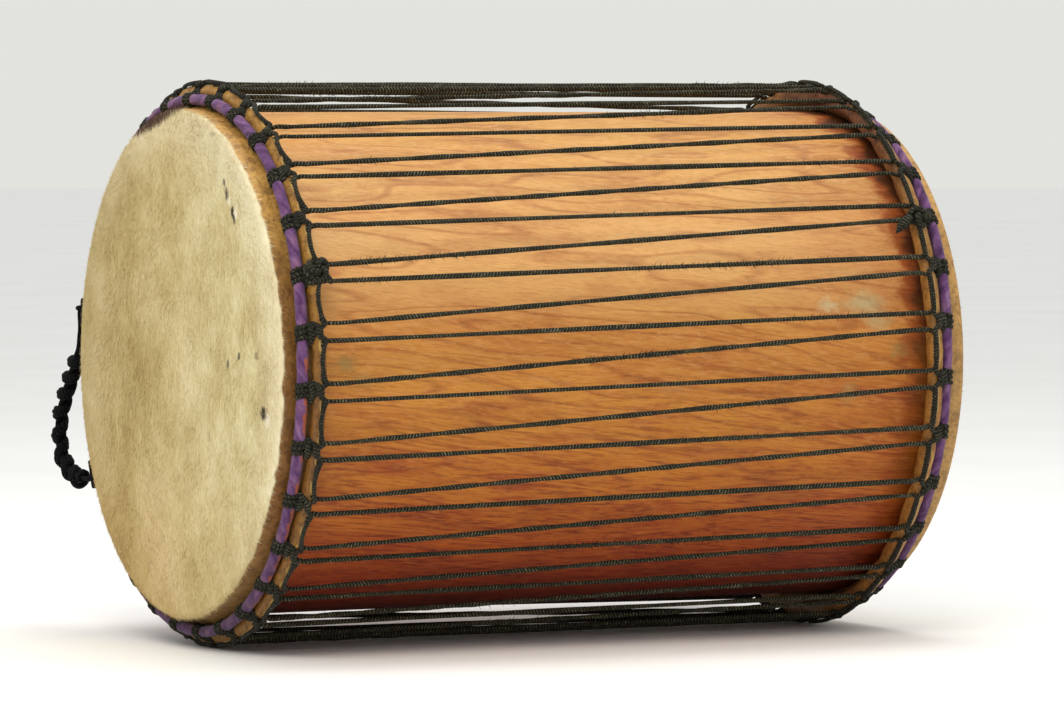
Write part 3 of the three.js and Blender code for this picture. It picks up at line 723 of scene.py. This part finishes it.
# Hides: stretched over the edge, down the shell and rolled round the flesh ring
hideShape = {
    "segmentsPerStation": 16,
    "faceSteps": 26, "bendSteps": 9, "sideSteps": 5,
    "edgeBend": 5.2,           # radius of the bend over the bearing edge
    "liftLead": 12.5,          # where the hide leaves the shell, before the flesh ring
    "rollBore": 4.85,
    "rollPinched": 5.7,        # at a hitch
    "rollFull": 7.9,           # half way between two hitches
    "rollRise": 1.5,           # how far the full roll is pushed outward
    "thinnest": 0.5,           # the least that is left of the roll over its bore
    # degrees round the roll: where the hide's turned end stops and how raggedly, how far before that its cut
    # edge lies, and half that edge's width; past the end the roll is a ply thinner
    "lap": 190, "lapRagged": 9, "cutBefore": 9, "cutHalf": 8, "plyShare": 0.9,
    "wrinkleDepth": 0.35, "wrinkled": (6, 16),    # down the side, from where the wrinkles start
    "hairRagged": 0.6, "hairFade": 0.8,
    "hairDepth": {"front": 3.0, "rear": -3.0},    # how far the hair reaches over the edge
    # how much flatter the roll is towards the crown ring and away from it
    "flatter": {"front": (0.26, 0.32), "rear": (0, 0.24)},
}


# The hide's section in rows: depth from the face, radius, and on the roll its reach and its turn in degrees
def hideOutline(end):
    s = hideShape
    thick = drum["hideThickness"] * mm
    outer, bend = drum["hideOuter"] * mm, s["edgeBend"] * mm
    inner, innerBend = outer - thick, bend - thick
    fleshDepth = abs(end["face"] - end["flesh"])
    lift = fleshDepth - s["liftLead"] * mm
    turns = np.radians(np.linspace(0, 90, s["bendSteps"]))
    rows = [(0, r, 0, 0) for r in np.linspace(0, outer - bend, s["faceSteps"])]
    rows += [(bend * (1 - math.cos(a)), outer - bend * (1 - math.sin(a)), 0, 0) for a in turns[1:]]
    rows += [(d, outer, 0, 0) for d in np.linspace(bend, lift, s["sideSteps"] + 1)[1:]]
    rows += [(fleshDepth, ringRadius, s["rollBore"] * mm, a) for a in np.linspace(20, 320, 14)]
    rows += [(fleshDepth, ringRadius, s["rollFull"] * mm, a) for a in np.linspace(320, 20, 52)]
    rows += [(lift + thick, inner, 0, 0)]
    rows += [(d, inner, 0, 0) for d in np.linspace(lift, bend, 4)]
    rows += [(thick + innerBend * (1 - math.cos(a)), inner - innerBend * (1 - math.sin(a)), 0, 0)
             for a in turns[::-1][2::2]]
    rows += [(thick, r, 0, 0) for r in np.linspace(outer - bend, 0, 6)]
    return np.array(rows)


def makeHide(label, material):
    end, s = ends[label], hideShape
    depth, radius, reach, turn = hideOutline(end).T
    angle, phase, away = ringSteps(s["segmentsPerStation"])
    seed, lean, crest = end["seed"], np.sin(np.radians(turn)), -np.cos(np.radians(turn))
    full = np.sin(np.clip(away * 3.4, 0, 1) * math.pi / 2) ** 1.1
    lumps = ringNoise(angle, seed, 12, 150) * 0.07 + ringNoise(angle, seed + 1, 6, 40) * 0.04
    rollScale = (s["rollPinched"] + (s["rollFull"] - s["rollPinched"]) * full * (1 + lumps)) / s["rollFull"]
    onSkin, onRoll = reach == 0, reach > s["rollBore"] * mm * 1.01
    # the turned end of the hide lies over the roll and stops on its crest in a pale cut edge
    lap = s["lap"] + s["lapRagged"] * ringNoise(angle, seed + 6, 9, 80)[:, None]
    ply = np.where(turn[None, :] < lap, 1.0, s["plyShare"])
    rise = s["rollRise"] * mm * full[:, None] * np.clip(crest, 0, 1)[None, :]
    sag = 1 + 0.05 * np.sin(np.radians(turn)[None, :] * 3 + phase[:, None] * 1.7)
    flatness = np.where(lean < 0, -lean * s["flatter"][label][0], lean * s["flatter"][label][1])
    rolled = (reach * rollScale[:, None] * ply + rise) * sag * (1 - flatness)[None, :]
    rollReach = np.where(onRoll, np.maximum(rolled, (s["rollBore"] + s["thinnest"]) * mm), reach)
    x = end["face"] - end["side"] * (depth + rollReach * lean)
    wrinkle = ringNoise(angle, seed + 4, 10, 90)[:, None] * s["wrinkleDepth"] * mm
    wrinkle = wrinkle * riseBetween(depth, *(place * mm for place in s["wrinkled"])) * onSkin
    outward = radius + rollReach * crest + wrinkle
    grid = onDrum(x, outward, angle[:, None])
    # the hair covers the face and ends raggedly on the bend, on the outer side alone
    outerSide = np.arange(len(depth)) < s["faceSteps"] + s["bendSteps"] + s["sideSteps"]
    overEdge = depth + np.minimum(radius - (drum["hideOuter"] - s["edgeBend"]) * mm, 0)[None, :]
    limit = (s["hairDepth"][label] + ringNoise(angle, seed + 9, 14, 120)[:, None] * s["hairRagged"]) * mm
    hairy = np.clip((limit - overEdge) / (s["hairFade"] * mm) + 0.5, 0, 1) * (outerSide & onSkin)
    cut = (np.abs(turn[None, :] - lap + s["cutBefore"]) < s["cutHalf"]) & onRoll
    cut = cut * np.clip(full * 1.4 - 0.2, 0, 1)[:, None]
    # the rear roll's inner side near the top: soot, and painted shade where it turns in against the shell
    nearTop = np.clip(1.4 - np.abs((angle - 20 + 180) % 360 - 180) / 32, 0, 1) * (label == "rear")
    inside = riseBetween(turn, 178, 160) * onRoll
    return gridMesh(label + "Hide", grid, {
        "hairCover": hairy, "cutEdge": cut * 0.5, "rolled": np.broadcast_to(reach > 0, hairy.shape),
        "hairFlow": hairFlow(end, grid, depth, radius, angle),
        "sootAndShade": nearTop[:, None] * inside[None, :] * 0.9}, material)


# Which way the hair lies: down the face, outwards near the rim and inwards over the edge
def hairFlow(end, grid, depth, radius, angle):
    out = np.stack([np.zeros(len(angle)), -np.sin(np.radians(angle)), np.cos(np.radians(angle))], axis=-1)
    flow = np.zeros(grid.shape)
    flow[..., 2] -= 1.0
    flow[..., 1] -= 0.15
    rim = np.clip(radius / (drum["hideOuter"] * mm), 0, 1)[None, :, None]
    flow += out[:, None, :] * 1.9 * rim ** 6
    over = np.clip(depth / (hideShape["edgeBend"] * mm), 0, 1)
    flow[..., 0] -= end["side"] * 1.6 * over[None, :]
    flow += -out[:, None, :] * over[None, :, None] * 0.6
    return flow


# Hair: one tree grows it from a skin's hairCover, along its hairFlow; the ropes' broken fibres grow by it too
hairShape = {
    "wavesPerMetre": 28, "swirl": 1.5, "stray": 0.22, "smallest": 0.6, "largest": 1.25,
    "face": {"Per square metre": 310000, "Length": 4.6 * mm, "Width": 0.19 * mm, "Lift": 0.2},
    "fuzz": {"Per square metre": 110000, "Length": 3.6 * mm, "Width": 0.3 * mm, "Lift": 1.5},
}


def makeHairTree():
    s = hairShape
    tree, add, given = newTree("growHair", {
        "Skin": "Geometry", "Per square metre": "Float", "Length": "Float", "Width": "Float", "Lift": "Float",
        "Seed": "Int", "Finish": "Material"})
    cover = add("GeometryNodeInputNamedAttribute", {"Name": "hairCover"}, data_type="FLOAT")
    density = add("Math", {0: cover, 1: given["Per square metre"]}, operation="MULTIPLY")
    points, normal, _ = add("GeometryNodeDistributePointsOnFaces", {
        "Mesh": given["Skin"], "Density": density, "Seed": given["Seed"]},
        out=None, distribute_method="RANDOM")
    place = add("GeometryNodeInputPosition")
    rooted = add("GeometryNodeStoreNamedAttribute", {
        "Geometry": points, "Name": "hairRoot", "Value": place}, data_type="FLOAT_VECTOR", domain="POINT")
    flow = add("GeometryNodeInputNamedAttribute", {"Name": "hairFlow"}, data_type="FLOAT_VECTOR")
    # the flow is laid flat on the skin, then swirled, strayed and raised
    against = add("VectorMath", {0: flow, 1: normal}, out=1, operation="DOT_PRODUCT")
    off = add("VectorMath", {0: normal, "Scale": against}, operation="SCALE")
    flat = add("VectorMath", {0: flow, 1: off}, operation="SUBTRACT")
    straight = add("VectorMath", {0: flat}, operation="NORMALIZE")
    wave = add("TexNoise", {"Vector": place, "Scale": s["wavesPerMetre"], "Detail": 2.0}, out=1)
    centred = add("VectorMath", {0: wave, 1: (0.5,) * 3}, operation="SUBTRACT")
    swirled = add("VectorMath", {0: centred, 1: (s["swirl"],) * 3, 2: straight}, operation="MULTIPLY_ADD")
    stray = add("FunctionNodeRandomValue", {
        0: (-s["stray"],) * 3, 1: (s["stray"],) * 3, "Seed": given["Seed"]}, data_type="FLOAT_VECTOR")
    strayed = add("VectorMath", {0: swirled, 1: stray}, operation="ADD")
    raised = add("VectorMath", {0: normal, "Scale": given["Lift"]}, operation="SCALE")
    aim = add("VectorMath", {0: strayed, 1: raised}, operation="ADD")
    turn = add("FunctionNodeAlignRotationToVector", {"Vector": aim}, axis="Z")
    size = add("FunctionNodeRandomValue", {
        2: s["smallest"], 3: s["largest"], "Seed": 7}, out=1, data_type="FLOAT")
    blade = add("GeometryNodeMeshCone", {
        "Vertices": 3, "Side Segments": 1, "Radius Top": 0.0, "Radius Bottom": given["Width"],
        "Depth": given["Length"]}, fill_type="NGON")
    grown = add("GeometryNodeInstanceOnPoints", {
        "Points": rooted, "Instance": blade, "Rotation": turn, "Scale": size})
    finishTree(add, grown, given["Finish"])
    return tree


hairTree = makeHairTree()
for label in ends:
    hide = makeHide(label, makeSkin(label))
    fur = runTree(hide, hairTree, label + "Hair", {
        **hairShape["face"], "Seed": ends[label]["seed"], "Finish": makeHair(label)})
    putOnDrum(hide, "drum", label + "_hide", label + "_head")
    putOnDrum(meshObject(label + "Hair", fur), "drum", label + "_hide")
    print(label, "hide made,", len(fur.polygons), "hair faces")


# Cloth bound round the crown rings
clothShape = {
    "segmentsPerStation": 30, "sides": 28, "radius": 4.9,
    "pinched": 3.9, "hitchHalf": 6.0, "pinchFade": 4,      # under a hitch
    # where the cloth is worn, in degrees round the ring and round its tube
    "wornFrom": (72, 84), "wornTo": (250, 210), "wornFacing": 128,
    # ridges round the tube, length of one turn of the winding, and depth of its folds
    "front": {"ridges": 2, "turn": 44, "depth": 0.5}, "rear": {"ridges": 2, "turn": 38, "depth": 0.55},
}
rodShape = {"radius": 3.3, "segments": 240, "sides": 14}


# A tube round a crown ring; its radius in mm, for each angle and each turn of its section
def ringTube(end, angle, turn, radius):
    bend = ringBend(end, angle)
    inward = bend[0][:, None] + radius * np.sin(turn)[None, :]
    out = bend[1][:, None] - radius * np.cos(turn)[None, :]
    return onDrum(end["crown"] - end["side"] * inward * mm, ringRadius + out * mm, angle[:, None])


def makeRingCloth(label):
    end, s, wind = ends[label], clothShape, clothShape[label]
    angle, _, away = ringSteps(s["segmentsPerStation"])
    seed, fromHitch, fade = end["seed"], away * stationSpan, s["pinchFade"] / 2
    squeezed = riseBetween(fromHitch, s["hitchHalf"] - fade, s["hitchHalf"] + fade)
    base = s["pinched"] + (s["radius"] - s["pinched"]) * squeezed
    turn = np.arange(s["sides"]) * 2 * math.pi / s["sides"]
    turnsRound = round(2 * math.pi * drum["ringRadius"] / wind["turn"])
    helix = turn[None, :] + np.radians(angle)[:, None] * turnsRound
    wander = ringNoise(angle, seed + 20, 10, 70)[:, None] * 0.5
    # each ridge of the winding rises slowly and drops steeply
    saw = ((helix * wind["ridges"] + wander * 3) / (2 * math.pi)) % 1.0
    ridge = np.where(saw < 0.75, saw / 0.75, (1 - saw) / 0.25)
    small = np.sin(helix * 5 + wander * 9) * 0.14 + np.sin(helix * 9 - wander * 14) * 0.08
    fold = ridge * 0.5 + small + 0.2
    radius = base[:, None] + wind["depth"] * (fold - 0.6) + ringNoise(angle, seed + 2, 8, 60)[:, None] * 0.12
    lower = riseBetween(angle, *s["wornFrom"]) * riseBetween(angle, *s["wornTo"])
    blots = np.clip(ringNoise(angle, seed + 12, 9, 60) * 1.4 + 0.8, 0, 1) * lower * (label == "front")
    facing = np.clip(np.cos(turn - math.radians(s["wornFacing"])) * 1.6 - 0.3, 0, 1)
    return gridMesh(label + "RingCloth", ringTube(end, angle, turn, radius), {
        "fold": fold, "worn": blots[:, None] * facing[None, :]}, cloth)


def makeRod(label):
    s = rodShape
    angle = np.arange(s["segments"]) * 360 / s["segments"]
    turn = np.arange(s["sides"]) * 2 * math.pi / s["sides"]
    return gridMesh(label + "CrownRod", ringTube(ends[label], angle, turn, s["radius"]), {}, steel)


for label in ends:
    putOnDrum(makeRingCloth(label), "drum", "ring_cloth", label + "_ring_wrap")
    putOnDrum(makeRod(label), "drum", "ring_steel", label + "_crown_ring")
    node = frame["nodes"][label + "_flesh_ring"]
    node.data.materials.clear()
    node.data.materials.append(steel)
print("rings bound")


# Ropes
ropeShape = {
    "width": 4.8, "thickness": 3.6, "hitchWidth": 4.1,
    "cornerHalf": 7.1,         # from a station to where a tension rope leaves
    "runOut": 8.8,             # a run's height over the crown ring's circle
    "runStep": 6.0,
    "underRein": 0.7,          # share of a run's width where the rope turns under the rein
    "windingRadius": 4.3, "windings": 3, "windingHalf": 6.6,
    "knotWidth": 5.2,
    "loose": 0.28, "sway": 0.35,           # how far hitches and reins stray by hand
    "wound": (2, 7), "untwisted": 1.5,     # turns in a run towards the front, and in one back
}


# One hitch, from where its rein arrives to where the next leaves: along, inward, out, share of the bend and
# share of the rope's width. The rope crosses the roll slantwise, goes three times round the crown ring, makes
# a fat lobe in the gap and slants back over the roll.
def hitchLine(end):
    r = ropeShape
    corner = r["cornerHalf"]
    inward, out = end["corner"]
    rows = [(-corner, inward, out, 0, 1), (-4.8, inward - 2.2, out - 1.0, 0, 1), (-1.6, 12.2, 8.2, 0.2, 1),
            (1.6, 9.8, 5.6, 0.4, 0.9), (2.0, 7.6, 1.6, 0.7, 0.8), (-2.5, 6.4, 0.2, 0.9, 0.8)]
    last = 360 * r["windings"] - 100
    for turn in range(-70, last + 1, 35):
        along = r["windingHalf"] * (2 * (turn + 70) / (last + 70) - 1)
        a = math.radians(turn)
        rows.append((along, -r["windingRadius"] * math.sin(a), r["windingRadius"] * math.cos(a), 1, 1.08))
    rows += [
        (8.0, 5.6, 1.4, 0.9, 0.9), (7.0, 6.3, 3.2, 0.9, 1.25), (4.2, 6.6, 4.8, 0.9, 1.65),
        (0, 6.6, 5.4, 0.9, 1.85), (-4.2, 6.6, 4.8, 0.9, 1.65), (-7.0, 6.7, 3.2, 0.8, 1.25),
        (-8.4, 8.0, 2.0, 0.6, 1.0),
        (-7.4, 9.8, 4.2, 0.4, 1.0), (-5.0, 11.0, 7.4, 0.2, 1.15), (-2.4, 11.6, 9.2, 0.1, 1.4),
        (0.6, 12.0, 9.8, 0.1, 1.5), (3.2, 12.9, 9.6, 0, 1.35), (5.4, inward - 1.7, out - 0.6, 0, 1.1),
        (corner, inward, out, 0, 1),
    ]
    return np.array(rows)


# A rope's end worked into a ball: middle and size in mm, and how often it passes round and through
def knotLine(end, station, middle, size, passes):
    points = []
    for t in np.linspace(0, 2 * math.pi, 22 * passes[1], endpoint=False):
        spread = 0.6 + 0.4 * math.cos(passes[1] * t)
        points.append(onRing(end, station, middle[0] + size[0] * spread * math.cos(passes[0] * t),
                             middle[1] + size[1] * spread * math.sin(passes[0] * t),
                             middle[2] + size[2] * math.sin(passes[1] * t)))
    return np.array(points)


# The front rope is tied off beside station 6, the rear one beside station 5; each ball has its middle, size
# and passes, and the tail its places (along, inward, out) and widths as shares of the rope's
knots = {
    "front": {"station": 6, "balls": [((-1.5, 15.5, 12.5), (9.0, 9.0, 4.0), (2, 3)),
                                      ((1.0, 11.0, 9.0), (7.0, 6.0, 3.4), (2, 3))],
              "tail": [(3, 22, 12), (6, 26, 10), (8, 28, 7)], "widthShares": [0.9, 0.9, 0.7]},
    "rear": {"station": 5, "balls": [((7.0, 17.0, 14.0), (7.4, 9.4, 5.0), (2, 3)),
                                     ((6.0, 16.0, 11.0), (6.0, 7.0, 4.4), (2, 3))],
             "tail": [(7, 24, 13.5), (9, 29, 13), (13, 34.5, 10.5), (19, 41, 7.5)],
             "widthShares": [0.8, 1.5, 2.0, 1.5, 0.2]},
}


def makeCradle(label):
    end, r = ends[label], ropeShape
    random = np.random.default_rng(end["seed"] + 30)
    hitch = hitchLine(end)
    points = []
    for station in range(drum["stations"]):
        loose = hitch + random.normal(0, r["loose"], hitch.shape) * np.array([1, 1, 0.6, 0, 0.15])
        loose[[0, -1]] = hitch[[0, -1]]
        points += [(*onRing(end, station, *row[:4]), row[4]) for row in loose]
        sway = random.normal(0, r["sway"], 3)
        rise = end["corner"][0] - end["rein"][0]
        points += [(*onRing(end, station, along, end["rein"][0] + lean * rise + sway[0],
                            end["rein"][1] + abs(sway[1]) * 0.5), 0.92)
                   for along, lean in ((11, 0.6), (17, 0.2), (24.4, 0), (32, 0.2), (37.8, 0.6))]
    line = smoothLine(points, True, 4)
    return layRope(label + "CradleRope", [(line[:, :3], True, line[:, 3], None)],
                   r["hitchWidth"], r["hitchWidth"], 8, hitchBraid)


def makeKnot(label):
    end, knot = ends[label], knots[label]
    lines = [(knotLine(end, knot["station"], *ball), True, None, None) for ball in knot["balls"]]
    tail = smoothLine([onRing(end, knot["station"], *place) for place in knot["tail"]], False, 6)
    widths = knot["widthShares"]
    shares = np.interp(np.linspace(0, 1, len(tail)), np.linspace(0, 1, len(widths)), widths)
    lines.append((tail, False, shares, None))
    return layRope(label + "RopeKnot", lines, ropeShape["knotWidth"], ropeShape["knotWidth"], 10, hitchBraid)


# Runs from ring to ring: each bend over a ring is smoothed by itself, and straight runs join the bends
def makeTensionRope():
    r = ropeShape
    random = np.random.default_rng(17)
    corner = r["cornerHalf"]
    bends = []
    tilt = 0.0
    for station in range(drum["stations"], 0, -1):
        for label in ("rear", "front"):
            end = ends[label]
            inward, out = end["turn"]
            half = [(0, inward + 18, r["runOut"]), (0, inward + 9, r["runOut"] + 0.2),
                    (0.3, inward + 4, out - 1.2), (1.8, inward + 1.0, out - 0.2), (5.0, inward, out),
                    (stationSpan / 2 - corner, inward, out)]
            rows = [(-corner - along, *rest) for along, *rest in half]
            rows += [(corner + along - stationSpan, *rest) for along, *rest in half[-2::-1]]
            bent = smoothLine([onRing(end, station, *place) for place in rows], False, 4)
            squeezed = np.interp(np.arange(len(bent)), np.array([2, 4, len(rows) - 5, len(rows) - 3]) * 4,
                                 [1, r["underRein"], r["underRein"], 1])
            bends.append(np.column_stack([bent, squeezed, np.full(len(bent), tilt)]))
            # the run towards the front is wound up, the run back lies nearly flat
            if label == "rear":
                turns = random.uniform(*r["wound"]) * random.choice([-1, 1])
            else:
                turns = random.uniform(-r["untwisted"], r["untwisted"])
            tilt += 2 * math.pi * turns
    closing = bends[0][0].copy()
    closing[4] = 2 * math.pi * round(tilt / (2 * math.pi))
    line = []
    for here, there in zip(bends, [bend[0] for bend in bends[1:]] + [closing]):
        steps = round(np.linalg.norm(there[:3] - here[-1, :3]) / (r["runStep"] * mm))
        line += [here, np.linspace(here[-1], there, steps + 1)[1:-1]]
    line = np.vstack(line)
    return layRope("tensionRope", [(line[:, :3], True, line[:, 3], line[:, 4])],
                   r["width"], r["thickness"], 8, ropeBraid)


# Broken fibres that stand out of the braid on a few stretches of the runs
fuzzShape = {"stretch": 60, "reach": 270, "lowest": 20}


def growFuzz(rope):
    s = fuzzShape
    x, y, z = pointPlaces(rope.data).T
    angle = np.degrees(np.arctan2(axisY - y, z - axisZ))
    patch = ringNoise(angle, 41, 12, 70) + np.sin(x / (s["stretch"] * mm) + ringNoise(angle, 42, 8, 30) * 3)
    cover = np.clip(patch - 1.0, 0, 1) * (np.abs(x) < s["reach"] * mm) * (z > s["lowest"] * mm)
    markPoints(rope.data, "hairCover", cover)
    markPoints(rope.data, "hairFlow", np.tile([0.7, 0, 0.2], len(x)))
    return runTree(rope, hairTree, "ropeFuzz", {**hairShape["fuzz"], "Seed": 19, "Finish": hitchBraid})


for label in ends:
    putOnDrum(makeCradle(label), "drum", "rope", label + "_cradle_rope")
    putOnDrum(makeKnot(label), "drum", "rope")
runs = makeTensionRope()
putOnDrum(meshObject("ropeFuzz", growFuzz(runs)), "drum", "rope")
putOnDrum(runs, "drum", "rope", "tension_rope")
print("ropes laid")


# Handle: two cords with three more hitched round them, swinging on two lashings
handleShape = {
    "span": 154.5, "reach": 71.6, "cordWidth": 5.2, "coreOffset": 2.5, "steps": 400, "sway": 0.5,
    "eyeReach": 5.4, "eyeOffset": 1.6, "eyeShare": 0.8, "eyeLead": 24,     # thinner and closer at the eyes
    "hitchPitch": 19.5, "wrapNear": 4.8, "wrapFar": 9.8, "wrapFromShare": 0.2, "wrapToShare": 0.93,
    # the cords hitched round: how far apart in radians, and how far out each goes
    "wraps": [(-1.05, 0.82), (0.0, 1.0), (1.05, 0.82)],
    # shares of the span between the eyes, and of the rise from an eye's rope to the reach
    "archShares": [(0, 0), (0.04, 0), (0.10, -0.01), (0.19, 0.03), (0.28, 0.2), (0.39, 0.5), (0.48, 0.73),
                   (0.59, 0.94), (0.71, 1), (0.82, 0.95), (0.93, 0.63), (0.98, 0.27), (1, 0)],
}
lashingShape = {"halfWidth": 8, "reach": 8.1, "cordWidth": 3.6, "apart": 3.2, "stations": (-6.5, -9.5)}
swing = next(joint for joint in frame["joints"] if joint["name"] == "handle_swing")
lowerEye = np.array(swing["pos_m"])
hingeUp = np.array(swing["axis"])
upperEye = lowerEye + hingeUp * handleShape["span"] * mm
inwards = np.array([1.0, 0, 0])
handleOut = np.cross(inwards, hingeUp)
handleOut = handleOut if handleOut[1] > 0 else -handleOut


def makeHandle():
    s = handleShape
    rise = s["reach"] - s["eyeReach"]
    arch = [upperEye + (handleOut * (s["eyeReach"] + rise * out) - hingeUp * s["span"] * along) * mm
            for along, out in s["archShares"]]
    middle = smoothLine(arch, False, 12)
    travelled = np.concatenate([[0], np.cumsum(np.linalg.norm(np.diff(middle, axis=0), axis=1))])
    even = np.linspace(0, travelled[-1], s["steps"])
    middle = np.stack([np.interp(even, travelled, middle[:, i]) for i in range(3)], axis=-1)
    tangent = np.gradient(middle, axis=0)
    tangent /= np.linalg.norm(tangent, axis=1)[:, None]
    side = np.tile(inwards, (s["steps"], 1))
    outward = np.cross(side, tangent)
    outward *= np.sign(outward @ handleOut)[:, None]
    turn = even / (s["hitchPitch"] * mm) * 2 * math.pi
    lines = []
    # the two cords are drawn together and thinner at the eyes, where they pass the lashings
    free = np.clip(np.minimum(even, even[-1] - even) / (s["eyeLead"] * mm), 0, 1)
    thick = s["eyeShare"] + (1 - s["eyeShare"]) * free
    for way in (-1, 1):
        sway = np.sin(turn + way) * s["sway"] * free
        apart = way * (s["eyeOffset"] + (s["coreOffset"] - s["eyeOffset"]) * free)
        core = middle + (side * apart[:, None] + outward * sway[:, None]) * mm
        lines.append((core, False, thick, None))
    chosen = (even > even[-1] * s["wrapFromShare"]) & (even < even[-1] * s["wrapToShare"])
    for shift, far in s["wraps"]:
        bulge = 0.5 + 0.5 * np.cos(turn - shift)
        reach = (s["wrapNear"] + (s["wrapFar"] * far - s["wrapNear"]) * bulge ** 2) * mm
        wrap = middle + outward * (reach * np.cos(turn - shift))[:, None]
        wrap = wrap + side * (reach * 0.8 * np.sin(turn - shift))[:, None]
        lines.append((wrap[chosen], False, None, None))
    for eye in (upperEye, lowerEye):
        ring = [eye + s["eyeReach"] * mm * (handleOut * math.cos(a) + inwards * math.sin(a))
                for a in np.linspace(0, 2 * math.pi, 24, endpoint=False)]
        lines.append((np.array(ring), True, [s["eyeShare"]] * len(ring), None))
    return layRope("carryHandle", lines, s["cordWidth"], s["cordWidth"], 8, handleBraid, ground=False)


# Two turns of cord from the ring over an eye, side by side
def makeLashing(name, eye, station):
    s = lashingShape
    lines = []
    for shift in (-s["apart"] / 2, s["apart"] / 2):
        half = s["halfWidth"] - abs(shift) * 0.5
        points = []
        for way in (1, -1):
            bridge = [eye - hingeUp * way * half * mm - inwards * shift * mm * 0.4]
            legs = [onRing(ends["front"], station, way * half + shift, -s["reach"] * math.sin(a),
                           s["reach"] * math.cos(a)) for a in np.radians([45, 90, 135, 180])]
            points += bridge + legs if way == 1 else (bridge + legs)[::-1]
        lines.append((smoothLine(points, True, 6), True, None, None))
    return layRope(name, lines, s["cordWidth"], s["cordWidth"], 8, handleBraid, ground=False)


putOnDrum(makeHandle(), "handle", "handle_cord", "carry_handle")
for name, eye, station in zip(("upper", "lower"), (upperEye, lowerEye), lashingShape["stations"]):
    lashing = makeLashing(name + "HandleLashing", eye, station)
    putOnDrum(lashing, "drum", "handle_cord", name + "_handle_lashing")
print("handle made")


# Floor, light and camera
stageSettings = {
    "floorRadius": 30000, "floor": [(0.3, "#F4F4F1"), (0.7, "#F8F8F6")], "floorPatches": 333,
    "sky": [(0.0, "#EEEEE9"), (0.12, "#EEEEE9"), (0.45, "#E4E5E5"), (1.0, "#FFFFFF")], "glow": 0.9,
}


def makeStage():
    s = stageSettings
    material, add = newMaterial("paleFloor")
    place = add("TexCoord", out="Object")
    soft = add("TexNoise", {"Vector": place, "Scale": 1 / (s["floorPatches"] * mm), "Detail": 3.0})
    tone = add("ValToRGB", {0: soft}, stops=s["floor"])
    finishMaterial(add, tone, 0.9, Specular_IOR_Level=0.2)
    work = bmesh.new()
    bmesh.ops.create_circle(work, cap_ends=True, segments=96, radius=s["floorRadius"] * mm)
    mesh = bpy.data.meshes.new("floor")
    work.to_mesh(mesh)
    work.free()
    floor = meshObject("floor", mesh, material)
    world = bpy.data.worlds.new("studio")
    bpy.context.scene.world = world
    world.use_nodes = True
    world.node_tree.nodes.clear()
    add = partial(addNode, world.node_tree)
    way = add("TexCoord", out="Generated")
    up = add("SeparateXYZ", {0: way}, out=2)
    shade = add("ValToRGB", {0: up}, stops=s["sky"])
    glow = add("Background", {"Color": shade, "Strength": s["glow"]})
    add("OutputWorld", {0: glow}, out=None)


def addLamp(name, place, target, size, power, colour):
    lamp = bpy.data.lights.new(name, "AREA")
    lamp.shape, lamp.size, lamp.energy = "DISK", size, power
    lamp.color = hexColour(colour)[:3]
    thing = bpy.data.objects.new(name, lamp)
    bpy.context.scene.collection.objects.link(thing)
    thing.location = place
    thing.rotation_euler = (Vector(target) - Vector(place)).to_track_quat("-Z", "Y").to_euler()


# The photograph's view: yaw and pitch in degrees, distances in metres
cameraView = {
    "yaw": 26.39, "pitch": 2.27, "target": (0.0136, -0.0307, 0.2494), "distance": 5.566, "lens": 212.0,
}


def makeCamera():
    c = cameraView
    yaw, pitch = math.radians(c["yaw"]), math.radians(c["pitch"])
    ahead = Vector((math.sin(yaw) * math.cos(pitch), math.cos(yaw) * math.cos(pitch), -math.sin(pitch)))
    camera = bpy.data.cameras.new("camera")
    camera.lens, camera.sensor_width, camera.clip_end = c["lens"], 36, 100
    thing = bpy.data.objects.new("camera", camera)
    bpy.context.scene.collection.objects.link(thing)
    thing.location = Vector(c["target"]) - ahead * c["distance"]
    thing.rotation_euler = ahead.to_track_quat("-Z", "Y").to_euler()
    bpy.context.scene.camera = thing


makeStage()
addLamp("keyLight", (-2.0, -2.4, 3.4), (0, 0, 0.3), 2.4, 75, "#FFF6E8")
addLamp("topLight", (0.4, 0.2, 3.6), (0, 0, 0.3), 2.0, 45, "#FFFFFF")
makeCamera()
bpy.context.scene.view_settings.view_transform = "Standard"
print("stage set")
